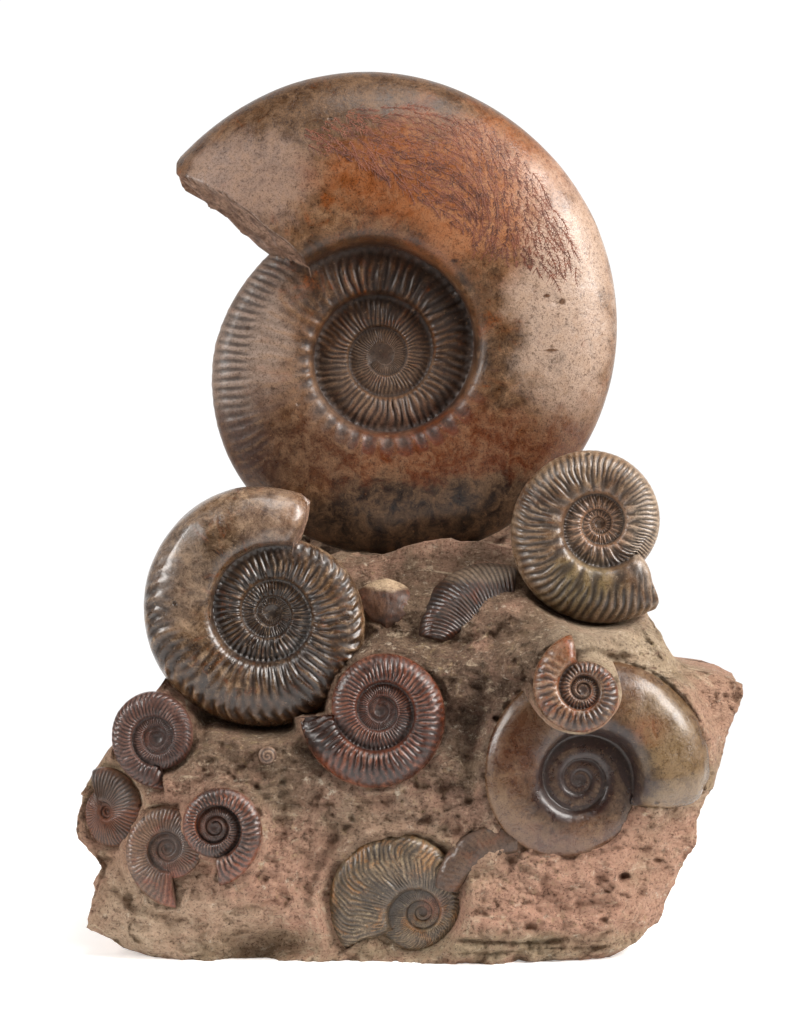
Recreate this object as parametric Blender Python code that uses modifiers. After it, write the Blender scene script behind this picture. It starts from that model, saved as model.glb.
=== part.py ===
"""An ammonite cluster: fossil shells prepared on their block of limestone, with one large shell standing on top.

The front of the block faces -Y. The origin is at the middle of the flat base. Metres, +Z up.
"""
import math

import bmesh
import bpy
from mathutils import Euler, Matrix, Vector, noise

OBJECT_NAME = "ammonite_cluster_plate"

# gap kept between a shell and the rock or shell beside it
GAP = 0.0009
# how far the whole cluster is moved so that its box is centred on the origin
CENTRE_SHIFT = Vector((-0.0056, 0.0013, 0.0))

# the block's side edges, from the base to the top: height, x
LEFT_EDGE = ((0.0, -0.178), (0.006, -0.196), (0.020, -0.216), (0.045, -0.213), (0.060, -0.208), (0.084, -0.228),
             (0.110, -0.222), (0.140, -0.203), (0.165, -0.176), (0.198, -0.160), (0.240, -0.136), (0.270, -0.100),
             (0.320, -0.060))
RIGHT_EDGE = ((0.0, 0.142), (0.008, 0.162), (0.023, 0.176), (0.045, 0.185), (0.072, 0.201), (0.087, 0.206),
              (0.122, 0.219), (0.150, 0.227), (0.183, 0.2366), (0.190, 0.220), (0.194, 0.194), (0.205, 0.184),
              (0.226, 0.175), (0.250, 0.158), (0.285, 0.110), (0.320, 0.060))
# how far the front and the back draw in at the sides, as shares of the depth from the plane where they meet
FRONT_DRAW = 0.30
BACK_DRAW = 0.75
DRAW_POWER = 6
MIDDLE_PLANE = 0.45
# how far the block's broken front wanders (the back wanders three times as far), and how closely
ROUGHNESS = 0.005
ROUGHNESS_DETAIL = 24.0
# heights of the block's rows of corners
ROW_HEIGHTS = (0.0, 0.008, 0.022, 0.045, 0.070, 0.095, 0.122, 0.150, 0.170, 0.183, 0.192, 0.207, 0.230, 0.250, 0.269)
COLUMNS_ACROSS = 15
LAYERS_DEEP = 3
# how much higher the block's top edge is behind the large shell than in front of it
TOP_RISE = 0.045
# the hump of the block's top in front of the large shell: x, half width, height
TOP_HUMP = (0.045, 0.050, 0.012)
# how far the front and the back stand from the middle plane: height, depth
FRONT_DEPTH = ((0.0, 0.086), (0.030, 0.094), (0.100, 0.088), (0.150, 0.082), (0.200, 0.070), (0.235, 0.049),
               (0.262, 0.014), (0.272, 0.002), (0.320, -0.006))
BACK_DEPTH = ((0.0, 0.078), (0.060, 0.094), (0.150, 0.100), (0.240, 0.104), (0.320, 0.096))
# lumps and hollows of the front: x, height, half width, half height, how far it stands out
FRONT_SWELLS = (
    (-0.190, 0.045, 0.050, 0.040, -0.006),
    (-0.215, 0.095, 0.035, 0.035, -0.020),
    (-0.142, 0.160, 0.014, 0.014, -0.022),
    (-0.080, 0.130, 0.050, 0.030, 0.004),
    (-0.090, 0.012, 0.030, 0.012, -0.020),
    (-0.028, 0.060, 0.050, 0.045, -0.013),
    (0.040, 0.016, 0.036, 0.026, 0.012),
    (0.140, 0.045, 0.050, 0.040, 0.004),
    (0.225, 0.160, 0.040, 0.080, -0.022),
    (0.215, 0.040, 0.045, 0.050, -0.022),
    (0.108, 0.205, 0.045, 0.030, 0.036),
    (-0.170, 0.160, 0.040, 0.030, 0.012),
    (0.110, 0.240, 0.060, 0.040, 0.012),
)


def clear_scene():
    for old in list(bpy.data.objects):
        bpy.data.objects.remove(old, do_unlink=True)


def make_collection(name):
    collection = bpy.data.collections.new(name)
    bpy.context.scene.collection.children.link(collection)
    return collection


def make_material(name, colour, roughness):
    material = bpy.data.materials.new(name)
    material.use_nodes = True
    shader = material.node_tree.nodes["Principled BSDF"]
    shader.inputs["Base Color"].default_value = (*colour, 1.0)
    shader.inputs["Roughness"].default_value = roughness
    shader.inputs["Metallic"].default_value = 0.0
    return material


def along(table, at):
    """The value at a place along a table of (place, value), straight between its entries."""
    if at <= table[0][0]:
        return table[0][1]
    for (place, value), (next_place, next_value) in zip(table, table[1:]):
        if at <= next_place:
            share = (at - place) / (next_place - place)
            return value + (next_value - value) * share
    return table[-1][1]


def mesh_object(name, shape, collection, material):
    """Make an object of a bmesh, with its faces turned outwards."""
    bmesh.ops.recalc_face_normals(shape, faces=shape.faces)
    mesh = bpy.data.meshes.new(name)
    shape.to_mesh(mesh)
    shape.free()
    mesh.materials.append(material)
    made = bpy.data.objects.new(name, mesh)
    collection.objects.link(made)
    return made


# the stretch behind a mouth, in turns, where the mouth's slant fades out
MOUTH_STRETCH = 0.12
# how full the outer flank is: 2 is an ellipse
RIM_FULLNESS = 2.3
# how far a socket's cutter stands over the shell's umbilicus, in half thicknesses
CUTTER_BULGE = 1.3


class Coil:
    """The shape of one shell, in its own plane: x across, z up, -y towards the front.

    Turns are counted back from the mouth, in whole whorls. The radii are those of the outer rim at each
    eighth of the last whorl, mouth first, in millimetres.
    """

    def __init__(self, centre, mouth, turn, radii, seam, seam_ratio, half_width, pitch=0.0, yaw=0.0,
                 rib=0.0, rib_from=0.0, node=0.0, crest=0.32, shoulder=0.86, width_power=1.1, lean=0.0, recess=0.0):
        self.centre = Vector(centre)
        self.mouth = math.radians(mouth)
        self.turn = turn
        self.radii = [radius / 1000 for radius in radii]
        self.seam = seam / 1000
        self.seam_ratio = seam_ratio
        self.half_width = half_width / 1000
        self.pitch = math.radians(pitch)
        self.yaw = math.radians(yaw)
        self.rib = rib / 1000
        self.rib_from = rib_from
        self.node = node / 1000
        self.crest = crest
        self.shoulder = shoulder
        self.width_power = width_power
        self.lean = lean
        self.recess = recess

    def rim_radius(self, turns):
        whole = max(0, math.ceil(turns - 1e-6) - 1)
        part = (turns - whole) * (len(self.radii) - 1)
        low = min(int(part), len(self.radii) - 2)
        share = part - low
        radius = self.radii[low] ** (1 - share) * self.radii[low + 1] ** share
        return radius * (self.radii[-1] / self.radii[0]) ** whole

    def seam_radius(self, turns):
        return self.seam * self.seam_ratio ** -turns

    def width(self, turns):
        """Half the whorl's thickness."""
        return self.half_width * (self.rim_radius(turns) / self.radii[0]) ** self.width_power

    def split(self, turns):
        """Where the next whorl covers the flank, as a share of the way from the seam to the rim."""
        turns = max(turns, 1.0)
        seam = self.seam_radius(turns)
        return (self.seam_radius(turns - 1) - seam) / (self.rim_radius(turns) - seam)

    def flank(self, share):
        """The flank's height over the middle plane, as a share of the half thickness."""
        if share < self.crest:
            rise = math.sin(math.pi / 2 * max(share, 0.0) / self.crest)
            return self.shoulder + (1 - self.shoulder) * rise
        fall = (share - self.crest) / (1 - self.crest)
        return math.sqrt(max(0.0, 1 - fall ** RIM_FULLNESS))

    def point(self, turns, share, bump=0.0, clearance=0.0):
        """A point on the flank, share of the way from the seam to the rim, lifted by a rib or a clearance."""
        seam = self.seam_radius(turns)
        rim = self.rim_radius(turns) + clearance
        # a rib runs over the rim, and dies out just before it on the flank
        radius = seam + (rim - seam) * share + bump * share ** 6
        height = self.width(turns) * self.flank(share)
        height += (bump + clearance) * min(1.0, 4 * (1 - share))
        # the broken mouth slants along the whorl and across its thickness
        slant = max(0.0, 1 - turns / MOUTH_STRETCH)
        lag = (self.lean * share * share + self.recess * height / self.half_width) * slant
        if turns == 0:
            # a cutter also reaches a little in front of the mouth
            lag -= clearance / (math.tau * radius)
        angle = self.mouth + self.turn * math.tau * (turns + lag)
        return Vector((radius * math.cos(angle), -height, radius * math.sin(angle)))

    def place(self):
        turned = Euler((self.pitch, 0.0, self.yaw)).to_matrix().to_4x4()
        return Matrix.Translation(self.centre) @ turned


def coil_mesh(coil, columns, whorls, inner_steps, outer_steps, back, clearance=0.0):
    """One closed skin: the front flanks of all whorls, the rim, a back, and the broken mouth.

    inner_steps and outer_steps are shares of the flank inside and outside the line where the next whorl
    would cover it. back is a list of (share of the rim radius, share of the half thickness) behind the rim;
    with no back the skin is one half, open at the middle plane.
    """
    shape = bmesh.new()
    total = round(columns * whorls)
    chord = 1.0
    widest = max(coil.width(eighth / 8) for eighth in range(9))
    if clearance:
        chord = 1 / math.cos(math.pi / columns)

    def bump_at(column, share):
        if clearance:
            return 0.0
        ridge = 1 if column % 2 else -1
        swell = coil.width(column / columns) / coil.half_width
        ribbed = min(1.0, max(0.0, (column / columns - coil.rib_from) * 5 + 1)) if coil.rib_from else 1.0
        amount = coil.rib * ridge * ribbed
        if share < 0.25:
            amount += coil.node * max(ridge, 0)
        return amount * swell

    def add(column, share):
        vector = coil.point(column / columns, share, bump_at(column, share), clearance)
        return shape.verts.new(Vector((vector.x * chord, vector.y, vector.z * chord)))

    # the front rows, the innermost whorl last; a whorl's outer edge is the seam of the whorl outside it
    rows = []
    for column in range(total + 1):
        split = coil.split(column / columns)
        row = [None]
        row += [add(column, split * step) for step in inner_steps]
        if column < columns:
            row.append(add(column, split))
        else:
            row.append(rows[column - columns][0] or add(column, split))
            rows[column - columns][0] = row[-1]
        if column <= columns:
            row += [add(column, split + (1 - split) * step) for step in outer_steps]
            row.append(add(column, 1.0))
            rim = row[-1].co
            for share, height in back:
                thick = widest if clearance else coil.width(column / columns)
                behind = thick * height + clearance
                row.append(shape.verts.new((rim.x * share, behind, rim.z * share)))
        rows.append(row)
    for column in range(max(0, total - columns + 1), total + 1):
        turns = column / columns
        seam = coil.point(turns + 1, coil.split(turns + 1), 0.0, clearance)
        rows[column][0] = shape.verts.new(Vector((seam.x * chord, seam.y, seam.z * chord)))

    for row, after in zip(rows, rows[1:]):
        for low in range(min(len(row), len(after)) - 1):
            corners = [row[low], row[low + 1], after[low + 1], after[low]]
            shape.faces.new(corners)

    # the heart of the coil, closed with a small fan
    first = total - columns
    ring = [rows[column][0] for column in range(first, total + 1)]
    ring += rows[total][1:len(inner_steps) + 1]
    heart = shape.verts.new(sum((corner.co for corner in ring), Vector()) / len(ring))
    if clearance:
        # a socket's cutter bulges over its umbilicus, so that it leaves no loose rock there
        for corner in ring + [heart]:
            corner.co.y = -CUTTER_BULGE * coil.half_width
    for corner, after in zip(ring, ring[1:] + ring[:1]):
        shape.faces.new([corner, after, heart])

    # the back's middle and the broken mouth
    if back:
        ring = [row[-1] for row in rows[:columns + 1]]
        middle = shape.verts.new(Vector((0.0, ring[columns // 2].co.y, 0.0)))
        for corner, after in zip(ring, ring[1:] + ring[:1]):
            shape.faces.new([corner, after, middle])
    covered = len(inner_steps) + 2
    shape.faces.new(rows[0] + rows[columns][covered:][::-1])
    bmesh.ops.triangulate(shape, faces=[face for face in shape.faces if len(face.verts) > 4])
    return shape


def add_ammonite(name, coil, columns, whorls, inner_steps, outer_steps, back, material, parts):
    made = mesh_object(name, coil_mesh(coil, columns, whorls, inner_steps, outer_steps, back), parts, material)
    made.matrix_world = coil.place()
    if not back:
        mirror(made)
    return made


def add_coil_cutter(name, coil, columns, outer_steps, back, material, cutters):
    """A plain coil a little larger than the shell, which hollows out the shell's socket."""
    clearance = GAP + coil.rib + coil.node
    made = mesh_object(name, coil_mesh(coil, columns, 1.0, (0.5,), outer_steps, back, clearance), cutters, material)
    made.matrix_world = coil.place()
    if not back:
        mirror(made)
    return as_cutter(made)


def mirror(half):
    """Complete a shell whose half is open at its middle plane."""
    halves = half.modifiers.new("other_half", "MIRROR")
    halves.use_axis = (False, True, False)
    halves.use_clip = True
    halves.merge_threshold = 0.00005


def as_cutter(made):
    made.hide_render = True
    made.display_type = "WIRE"
    return made


class Arc:
    """A worn stretch of whorl: an arched band round a centre, with a buried back."""

    def __init__(self, centre, start, end, outer, inner, height, rib=0.0, pitch=0.0, yaw=0.0, depth=0.008):
        self.centre = Vector(centre)
        self.start = math.radians(start)
        self.end = math.radians(end)
        self.outer = [radius / 1000 for radius in outer]
        self.inner = [radius / 1000 for radius in inner]
        self.height = height / 1000
        self.rib = rib / 1000
        self.pitch = math.radians(pitch)
        self.yaw = math.radians(yaw)
        self.depth = depth

    def place(self):
        turned = Euler((self.pitch, 0.0, self.yaw)).to_matrix().to_4x4()
        return Matrix.Translation(self.centre) @ turned


# a stretch of whorl in section, from its inner edge to its outer edge: share of the breadth, share of the height
ARC_SECTION = ((0.0, 0.1), (0.14, 0.72), (0.45, 1.0), (0.78, 0.74), (1.0, 0.1))
# how much lower a stretch of whorl is at its ends
ARC_END_DROP = 0.34


def arc_mesh(arc, columns, clearance=0.0):
    shape = bmesh.new()
    rows = []
    reach = math.copysign(clearance / min(arc.inner), arc.end - arc.start)
    for column in range(columns + 1):
        share = column / columns
        angle = arc.start - reach + (arc.end - arc.start + 2 * reach) * share
        place = share * (len(arc.outer) - 1)
        low = min(int(place), len(arc.outer) - 2)
        outer = arc.outer[low] + (arc.outer[low + 1] - arc.outer[low]) * (place - low) + clearance
        inner = arc.inner[low] + (arc.inner[low + 1] - arc.inner[low]) * (place - low) - clearance
        taper = 1 - ARC_END_DROP * (1 - math.sin(math.pi * share))
        ridge = (arc.rib if column % 2 else -arc.rib) * (0 if clearance else 1)
        row = [shape.verts.new((inner * math.cos(angle), arc.depth + clearance, inner * math.sin(angle)))]
        for across, height in ARC_SECTION:
            radius = inner + (outer - inner) * across
            lift = (arc.height * height + ridge * min(height, 1.0)) * taper + clearance
            row.append(shape.verts.new((radius * math.cos(angle), -lift, radius * math.sin(angle))))
        row.append(shape.verts.new((outer * math.cos(angle), arc.depth + clearance, outer * math.sin(angle))))
        rows.append(row)
    for row, after in zip(rows, rows[1:]):
        for low in range(len(row)):
            high = (low + 1) % len(row)
            shape.faces.new([row[low], row[high], after[high], after[low]])
    shape.faces.new(rows[0])
    shape.faces.new(rows[-1])
    bmesh.ops.triangulate(shape, faces=[face for face in shape.faces if len(face.verts) > 4])
    return shape


def add_arc(name, arc, columns, material, parts):
    made = mesh_object(name, arc_mesh(arc, columns), parts, material)
    made.matrix_world = arc.place()
    return made


def add_arc_cutter(name, arc, columns, material, cutters):
    made = mesh_object(name, arc_mesh(arc, columns, GAP + arc.rib), cutters, material)
    made.matrix_world = arc.place()
    return as_cutter(made)


def add_tiny(name, material, collection, clearance=0.0):
    """The tiny shell is a flattened knob."""
    shape = bmesh.new()
    bmesh.ops.create_uvsphere(shape, u_segments=8, v_segments=5, radius=TINY_RADIUS + clearance)
    shape.transform(Matrix.Diagonal((1.0, 1.0, TINY_THICKNESS)).to_4x4())
    shape.transform(Matrix.Rotation(math.pi / 2, 4, "X"))
    made = mesh_object(name, shape, collection, material)
    made.location = TINY_CENTRE
    return made


def front_of_block(x, height):
    """Where the block's front stands, as y."""
    depth = along(FRONT_DEPTH, height)
    for swell_x, swell_height, half_width, half_height, out in FRONT_SWELLS:
        away = ((x - swell_x) / half_width) ** 2 + ((height - swell_height) / half_height) ** 2
        depth += out * math.exp(-away)
    return -depth


def block_point(across, height, deep):
    """A point of the block: across and deep run from 0 to 1, left to right and front to back."""
    left = along(LEFT_EDGE, height)
    right = along(RIGHT_EDGE, height)
    x = left + (right - left) * across
    front = front_of_block(x, height)
    back = along(BACK_DEPTH, height)
    middle = front + (back - front) * MIDDLE_PLANE
    # the front and the back draw in towards the block's sides
    edge = abs(2 * across - 1)
    draw = 1 - (FRONT_DRAW + (BACK_DRAW - FRONT_DRAW) * deep) * edge ** DRAW_POWER
    y = middle + ((front + (back - front) * deep) - middle) * draw
    wander = noise.fractal(Vector((x, y, height)) * ROUGHNESS_DETAIL, 0.9, 2.0, 3)
    y += ROUGHNESS * wander * (1 + 2 * deep)
    return Vector((x, y, height))


def add_block(material, parts):
    """The block: a cube-like net of corners laid over the edges, the front relief and the back."""
    shape = bmesh.new()
    rows = len(ROW_HEIGHTS) - 1
    made = {}

    def corner(column, row, layer):
        key = (column, row, layer)
        if key not in made:
            across = column / COLUMNS_ACROSS
            deep = layer / LAYERS_DEEP
            height = ROW_HEIGHTS[row]
            point = block_point(across, height, deep)
            if row == rows:
                behind = max(0.0, 2 * deep - 1)
                point.z += TOP_RISE * behind * math.sin(math.pi * across) ** 0.5
                hump_x, half_width, hump = TOP_HUMP
                point.z += hump * (1 - deep) * math.exp(-((point.x - hump_x) / half_width) ** 2)
            made[key] = shape.verts.new(point)
        return made[key]

    def wall(first, second, at):
        """Lay one face of the net over two ranges, with the third direction held."""
        for a in range(first):
            for b in range(second):
                shape.faces.new([corner(*at(a, b)), corner(*at(a + 1, b)), corner(*at(a + 1, b + 1)),
                                 corner(*at(a, b + 1))])

    wall(COLUMNS_ACROSS, rows, lambda a, b: (a, b, 0))
    wall(COLUMNS_ACROSS, rows, lambda a, b: (a, b, LAYERS_DEEP))
    wall(LAYERS_DEEP, rows, lambda a, b: (0, b, a))
    wall(LAYERS_DEEP, rows, lambda a, b: (COLUMNS_ACROSS, b, a))
    wall(COLUMNS_ACROSS, LAYERS_DEEP, lambda a, b: (a, 0, b))
    wall(COLUMNS_ACROSS, LAYERS_DEEP, lambda a, b: (a, rows, b))
    return mesh_object("rock", shape, parts, material)


def cut(target, cutter):
    hollow = target.modifiers.new("socket_" + cutter.name, "BOOLEAN")
    hollow.operation = "DIFFERENCE"
    hollow.solver = "EXACT"
    hollow.object = cutter


# a shell that stands free has a rounded back with a plugged umbilicus; one in the rock has a plain back
FREE_BACK = ((0.90, 0.70), (0.52, 1.0))
BURIED_BACK = ((0.86, 0.55),)

COILS = {
    "great_ammonite": Coil(
        (-0.0149, 0.035, 0.4126), 138, -1, (198.1, 197.2, 182.5, 166.8, 155.5, 146.5, 137.0, 120.0, 105.5), 77.4, 1.865,
        47, node=1.0, rib=0.7, rib_from=0.8, lean=0.008, recess=0.018),
    "left_ammonite": Coil(
        (-0.090, -0.052, 0.2336), 70, 1, (84.0, 89.1, 87.8, 85.2, 79.5, 74.5, 66.5, 59.8, 53.7), 47.6, 2.0,
        23, rib=0.9, pitch=-2, lean=-0.006, recess=0.02),
    "ribbed_ammonite": Coil(
        (0.1341, -0.044, 0.2944), -54, -1, (69.1, 67.7, 63.8, 58.6, 53.5, 48.2, 43.4, 41.0, 40.0), 31.5, 2.1,
        20, rib=0.9, node=0.4),
    "red_ammonite": Coil(
        (-0.0152, -0.078, 0.1698), 185, 1, (54.0, 53.3, 51.2, 46.6, 42.8, 40.0, 37.7, 34.9, 32.3), 31.1, 2.0,
        14, rib=0.7, pitch=-7),
    "smooth_ammonite": Coil(
        (0.1191, -0.082, 0.1234), -6, 1, (88.8, 88.6, 80.2, 70.5, 64.8, 60.5, 51.5, 44.5, 40.5), 37.8, 2.2,
        22, pitch=-4, yaw=7),
    "small_ammonite": Coil(
        (0.1194, -0.105, 0.1868), 101, 1, (37.9, 34.4, 32.1, 29.6, 27.6, 25.5, 23.1, 20.4, 18.6), 17.9, 2.0,
        9, rib=0.7, pitch=-12),
    "dark_ammonite": Coil(
        (-0.1667, -0.069, 0.1500), -80, -1, (34.6, 31.8, 31.2, 32.4, 32.0, 28.0, 25.0, 23.7, 21.7), 19.0, 1.8,
        10, rib=0.6, yaw=-8, pitch=-8),
    "edge_ammonite": Coil(
        (-0.2010, -0.056, 0.0985), 115, -1, (30.0, 29.5, 28.5, 27.5, 26.0, 24.0, 21.0, 18.5, 17.0), 6.8, 1.9,
        8, rib=0.5, yaw=-32, crest=0.2),
    "buried_ammonite": Coil(
        (-0.1591, -0.080, 0.0762), -80, -1, (40.0, 33.0, 29.5, 28.5, 28.4, 27.4, 25.4, 22.7, 20.2), 14.8, 1.8,
        9, rib=0.4, yaw=-10, pitch=-6),
    "glossy_ammonite": Coil(
        (-0.1260, -0.092, 0.0930), -86, 1, (40.2, 34.4, 31.6, 29.4, 26.2, 23.4, 22.2, 21.4, 20.8), 20.1, 1.9,
        10, rib=0.7, yaw=-4),
    "sunken_ammonite": Coil(
        (-0.0007, -0.078, 0.0365), 218, -1, (49.0, 49.5, 51.0, 50.0, 44.0, 36.0, 31.0, 28.0, 26.0), 20.0, 2.0,
        11, rib=0.5, pitch=4),
}
# columns in a whorl, whorls, steps inside and outside the covering line, back
LAYOUTS = {
    "great_ammonite": (48, 2.4, (0.13, 0.5), (0.45, 0.82), ()),
    "left_ammonite": (46, 2.2, (0.15, 0.5), (0.5, 0.85), FREE_BACK),
    "ribbed_ammonite": (52, 2.1, (0.3,), (0.45, 0.82), FREE_BACK),
    "red_ammonite": (46, 2.0, (0.3,), (0.6,), BURIED_BACK),
    "smooth_ammonite": (30, 1.6, (0.15, 0.5), (0.4, 0.75), BURIED_BACK),
    "small_ammonite": (32, 1.8, (0.3,), (0.6,), BURIED_BACK),
    "dark_ammonite": (32, 1.8, (0.3,), (0.6,), BURIED_BACK),
    "edge_ammonite": (28, 1.3, (0.3,), (0.6,), BURIED_BACK),
    "buried_ammonite": (28, 1.5, (0.3,), (0.6,), BURIED_BACK),
    "glossy_ammonite": (32, 1.8, (0.3,), (0.6,), BURIED_BACK),
    "sunken_ammonite": (30, 1.6, (0.3,), (0.6,), BURIED_BACK),
}
CUTTER_COLUMNS = 14

ARCS = {
    "ghost_whorl": Arc((0.0785, -0.089, 0.0410), 148, 105, (56.0, 57.0, 54.0), (39.0, 37.0, 36.0), 9, rib=0.3),
    "shelf_whorl": Arc((0.0698, -0.058, 0.2010), 160, 84, (63.0, 68.0, 70.0, 70.0), (44.0, 33.0, 33.0, 33.0), 14,
                       rib=0.7, pitch=-28),
    "shelf_fragment": Arc((-0.0124, -0.046, 0.2140), 118, 58, (40.0, 42.0, 38.0), (10.0, 8.0, 10.0), 12, pitch=-20),
}
ARC_COLUMNS = {"ghost_whorl": 8, "shelf_whorl": 18, "shelf_fragment": 5}
ARC_CUTTER_COLUMNS = 6

TINY_CENTRE = Vector((-0.0910, -0.0880, 0.1406))
TINY_RADIUS = 0.0062
TINY_THICKNESS = 0.6

COLOURS = {
    "rock": ((0.42, 0.31, 0.25), 0.85),
    "great_ammonite": ((0.21, 0.13, 0.08), 0.35),
    "left_ammonite": ((0.13, 0.085, 0.055), 0.25),
    "ribbed_ammonite": ((0.21, 0.16, 0.12), 0.30),
    "red_ammonite": ((0.15, 0.06, 0.045), 0.28),
    "smooth_ammonite": ((0.22, 0.17, 0.12), 0.30),
    "small_ammonite": ((0.22, 0.15, 0.10), 0.30),
    "dark_ammonite": ((0.13, 0.09, 0.08), 0.45),
    "edge_ammonite": ((0.18, 0.11, 0.08), 0.50),
    "buried_ammonite": ((0.19, 0.13, 0.10), 0.50),
    "glossy_ammonite": ((0.15, 0.08, 0.06), 0.25),
    "sunken_ammonite": ((0.24, 0.19, 0.13), 0.50),
    "ghost_whorl": ((0.28, 0.25, 0.20), 0.65),
    "shelf_whorl": ((0.16, 0.10, 0.07), 0.35),
    "shelf_fragment": ((0.20, 0.12, 0.09), 0.45),
    "tiny_ammonite": ((0.24, 0.17, 0.13), 0.50),
}


def build():
    clear_scene()
    parts = make_collection(OBJECT_NAME)
    cutters = make_collection("cutters")
    materials = {name: make_material(name, *look) for name, look in COLOURS.items()}
    cutter_material = make_material("cutter", (0.8, 0.8, 0.8), 0.5)

    rock = add_block(materials["rock"], parts)
    for name, coil in COILS.items():
        layout = LAYOUTS[name]
        add_ammonite(name, coil, *layout, materials[name], parts)
        cut(rock, add_coil_cutter(name + "_socket", coil, CUTTER_COLUMNS, *layout[3:], cutter_material, cutters))
    for name, arc in ARCS.items():
        add_arc(name, arc, ARC_COLUMNS[name], materials[name], parts)
        cut(rock, add_arc_cutter(name + "_socket", arc, ARC_CUTTER_COLUMNS, cutter_material, cutters))
    add_tiny("tiny_ammonite", materials["tiny_ammonite"], parts)
    cut(rock, as_cutter(add_tiny("tiny_socket", cutter_material, cutters, GAP)))
    for item in list(parts.objects) + list(cutters.objects):
        item.location += CENTRE_SHIFT


build()
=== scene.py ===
"""The looks of the ammonite cluster plate: fine shells, the rock round them, their finishes, the studio.

Every shell follows the same spiral law as its solid. Metres, +Z up, the front faces -Y.
"""

import math
import random
from dataclasses import dataclass

import bpy
import numpy as np
from mathutils import Euler, Matrix, Vector, noise


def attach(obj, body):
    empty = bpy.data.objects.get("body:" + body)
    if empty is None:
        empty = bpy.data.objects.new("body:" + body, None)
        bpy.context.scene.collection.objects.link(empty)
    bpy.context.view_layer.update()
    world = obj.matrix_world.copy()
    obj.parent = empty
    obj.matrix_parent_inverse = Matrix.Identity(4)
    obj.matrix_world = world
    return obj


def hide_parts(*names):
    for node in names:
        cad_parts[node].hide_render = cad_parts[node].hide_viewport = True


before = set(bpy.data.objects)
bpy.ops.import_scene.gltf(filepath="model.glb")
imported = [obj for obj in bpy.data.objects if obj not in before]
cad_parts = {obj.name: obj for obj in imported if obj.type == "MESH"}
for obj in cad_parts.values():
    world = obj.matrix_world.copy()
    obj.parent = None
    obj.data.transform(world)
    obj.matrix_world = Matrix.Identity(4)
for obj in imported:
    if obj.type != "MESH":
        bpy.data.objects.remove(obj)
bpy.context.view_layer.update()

# the cluster's shift from the frame that its places below are written in, as in the solids
CENTRE_SHIFT = Vector((-0.0056, 0.0013, 0.0))
MM = 0.001


def deselect():
    for item in list(bpy.context.selected_objects):
        item.select_set(False)


def pick(item):
    deselect()
    item.select_set(True)
    bpy.context.view_layer.objects.active = item


def put(name, data):
    made = bpy.data.objects.new(name, data)
    bpy.context.scene.collection.objects.link(made)
    return made


def tint(red, green, blue):
    """A colour from its everyday 0 to 255 values."""
    return tuple((value / 255) ** 2.2 for value in (red, green, blue)) + (1.0,)


def ramp(values, start, end):
    """0 before start, 1 after end, smooth between."""
    share = np.clip((values - start) / (end - start), 0.0, 1.0)
    return share * share * (3 - 2 * share)


def fractal(points, scale, octaves=4, seed=0.0):
    """Rough noise at each point of an array, about -1 to 1."""
    flat = points.reshape(-1, 3) * scale + seed
    found = [noise.fractal(Vector(point), 0.8, 2.0, octaves) for point in flat]
    return np.array(found).reshape(points.shape[:-1])


# Nodes of the finishes. Each helper adds its node to the tree of the socket that it starts from.


def add(tree, kind, inputs=None, **settings):
    made = tree.nodes.new(kind)
    for key, value in settings.items():
        setattr(made, key, value)
    for key, value in (inputs or {}).items():
        if isinstance(value, bpy.types.NodeSocket):
            tree.links.new(value, made.inputs[key])
        else:
            made.inputs[key].default_value = value
    return made


def clouds(at, scale, detail=6.0, rough=0.6, warp=0.0):
    inputs = {"Vector": at, "Scale": scale, "Detail": detail, "Roughness": rough, "Distortion": warp}
    return add(at.id_data, "ShaderNodeTexNoise", inputs).outputs["Fac"]


def between(value, low, high, start=0.0, end=1.0):
    inputs = {"Value": value, "From Min": low, "From Max": high, "To Min": start, "To Max": end}
    return add(value.id_data, "ShaderNodeMapRange", inputs, interpolation_type="SMOOTHSTEP").outputs["Result"]


def work(operation, first, second=0.0):
    return add(first.id_data, "ShaderNodeMath", {0: first, 1: second}, operation=operation).outputs[0]


def times(first, second):
    return work("MULTIPLY", first, second)


def plus(first, second):
    return work("ADD", first, second)


def blend(amount, first, second, mode="MIX"):
    inputs = {0: amount, 6: first, 7: second}
    return add(amount.id_data, "ShaderNodeMix", inputs, data_type="RGBA", blend_type=mode).outputs[2]


def spot(at, x, z, half_width, half_height, soft=0.5):
    """1 inside an ellipse seen from the front, 0 outside, with a ragged edge. Its measures are millimetres."""
    ragged = clouds(at, 30, 6, 0.65)
    apart = add(at.id_data, "ShaderNodeSeparateXYZ", {0: at})
    across = work("DIVIDE", work("SUBTRACT", apart.outputs[0], x * MM + CENTRE_SHIFT.x), half_width * MM)
    up = work("DIVIDE", work("SUBTRACT", apart.outputs[2], z * MM), half_height * MM)
    away = work("SQRT", plus(times(across, across), times(up, up)))
    away = plus(away, between(ragged, 0.25, 0.75, -0.45, 0.45))
    return between(away, 1 - soft, 1 + soft, 1.0, 0.0)


def patched(colour, at, patches, mottled):
    """Clouds of other colours. Each has a colour, an amount and its spot."""
    for there, amount, *place in patches:
        colour = blend(times(times(spot(at, *place), amount), mottled), colour, tint(*there))
    return colour


def new_finish(name):
    """A new material, its shader, and the place of each point on its object."""
    material = bpy.data.materials.new(name)
    material.use_nodes = True
    tree = material.node_tree
    return material, tree.nodes["Principled BSDF"], add(tree, "ShaderNodeTexCoord").outputs["Object"]


def finish(shader, colour, roughness, height, depth):
    """Wire a finish's colour, roughness and relief to its shader."""
    tree = shader.id_data
    tree.links.new(colour, shader.inputs["Base Color"])
    tree.links.new(roughness, shader.inputs["Roughness"])
    bumps = add(tree, "ShaderNodeBump", {"Height": height, "Distance": depth, "Strength": 1.0})
    tree.links.new(bumps.outputs[0], shader.inputs["Normal"])


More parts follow.
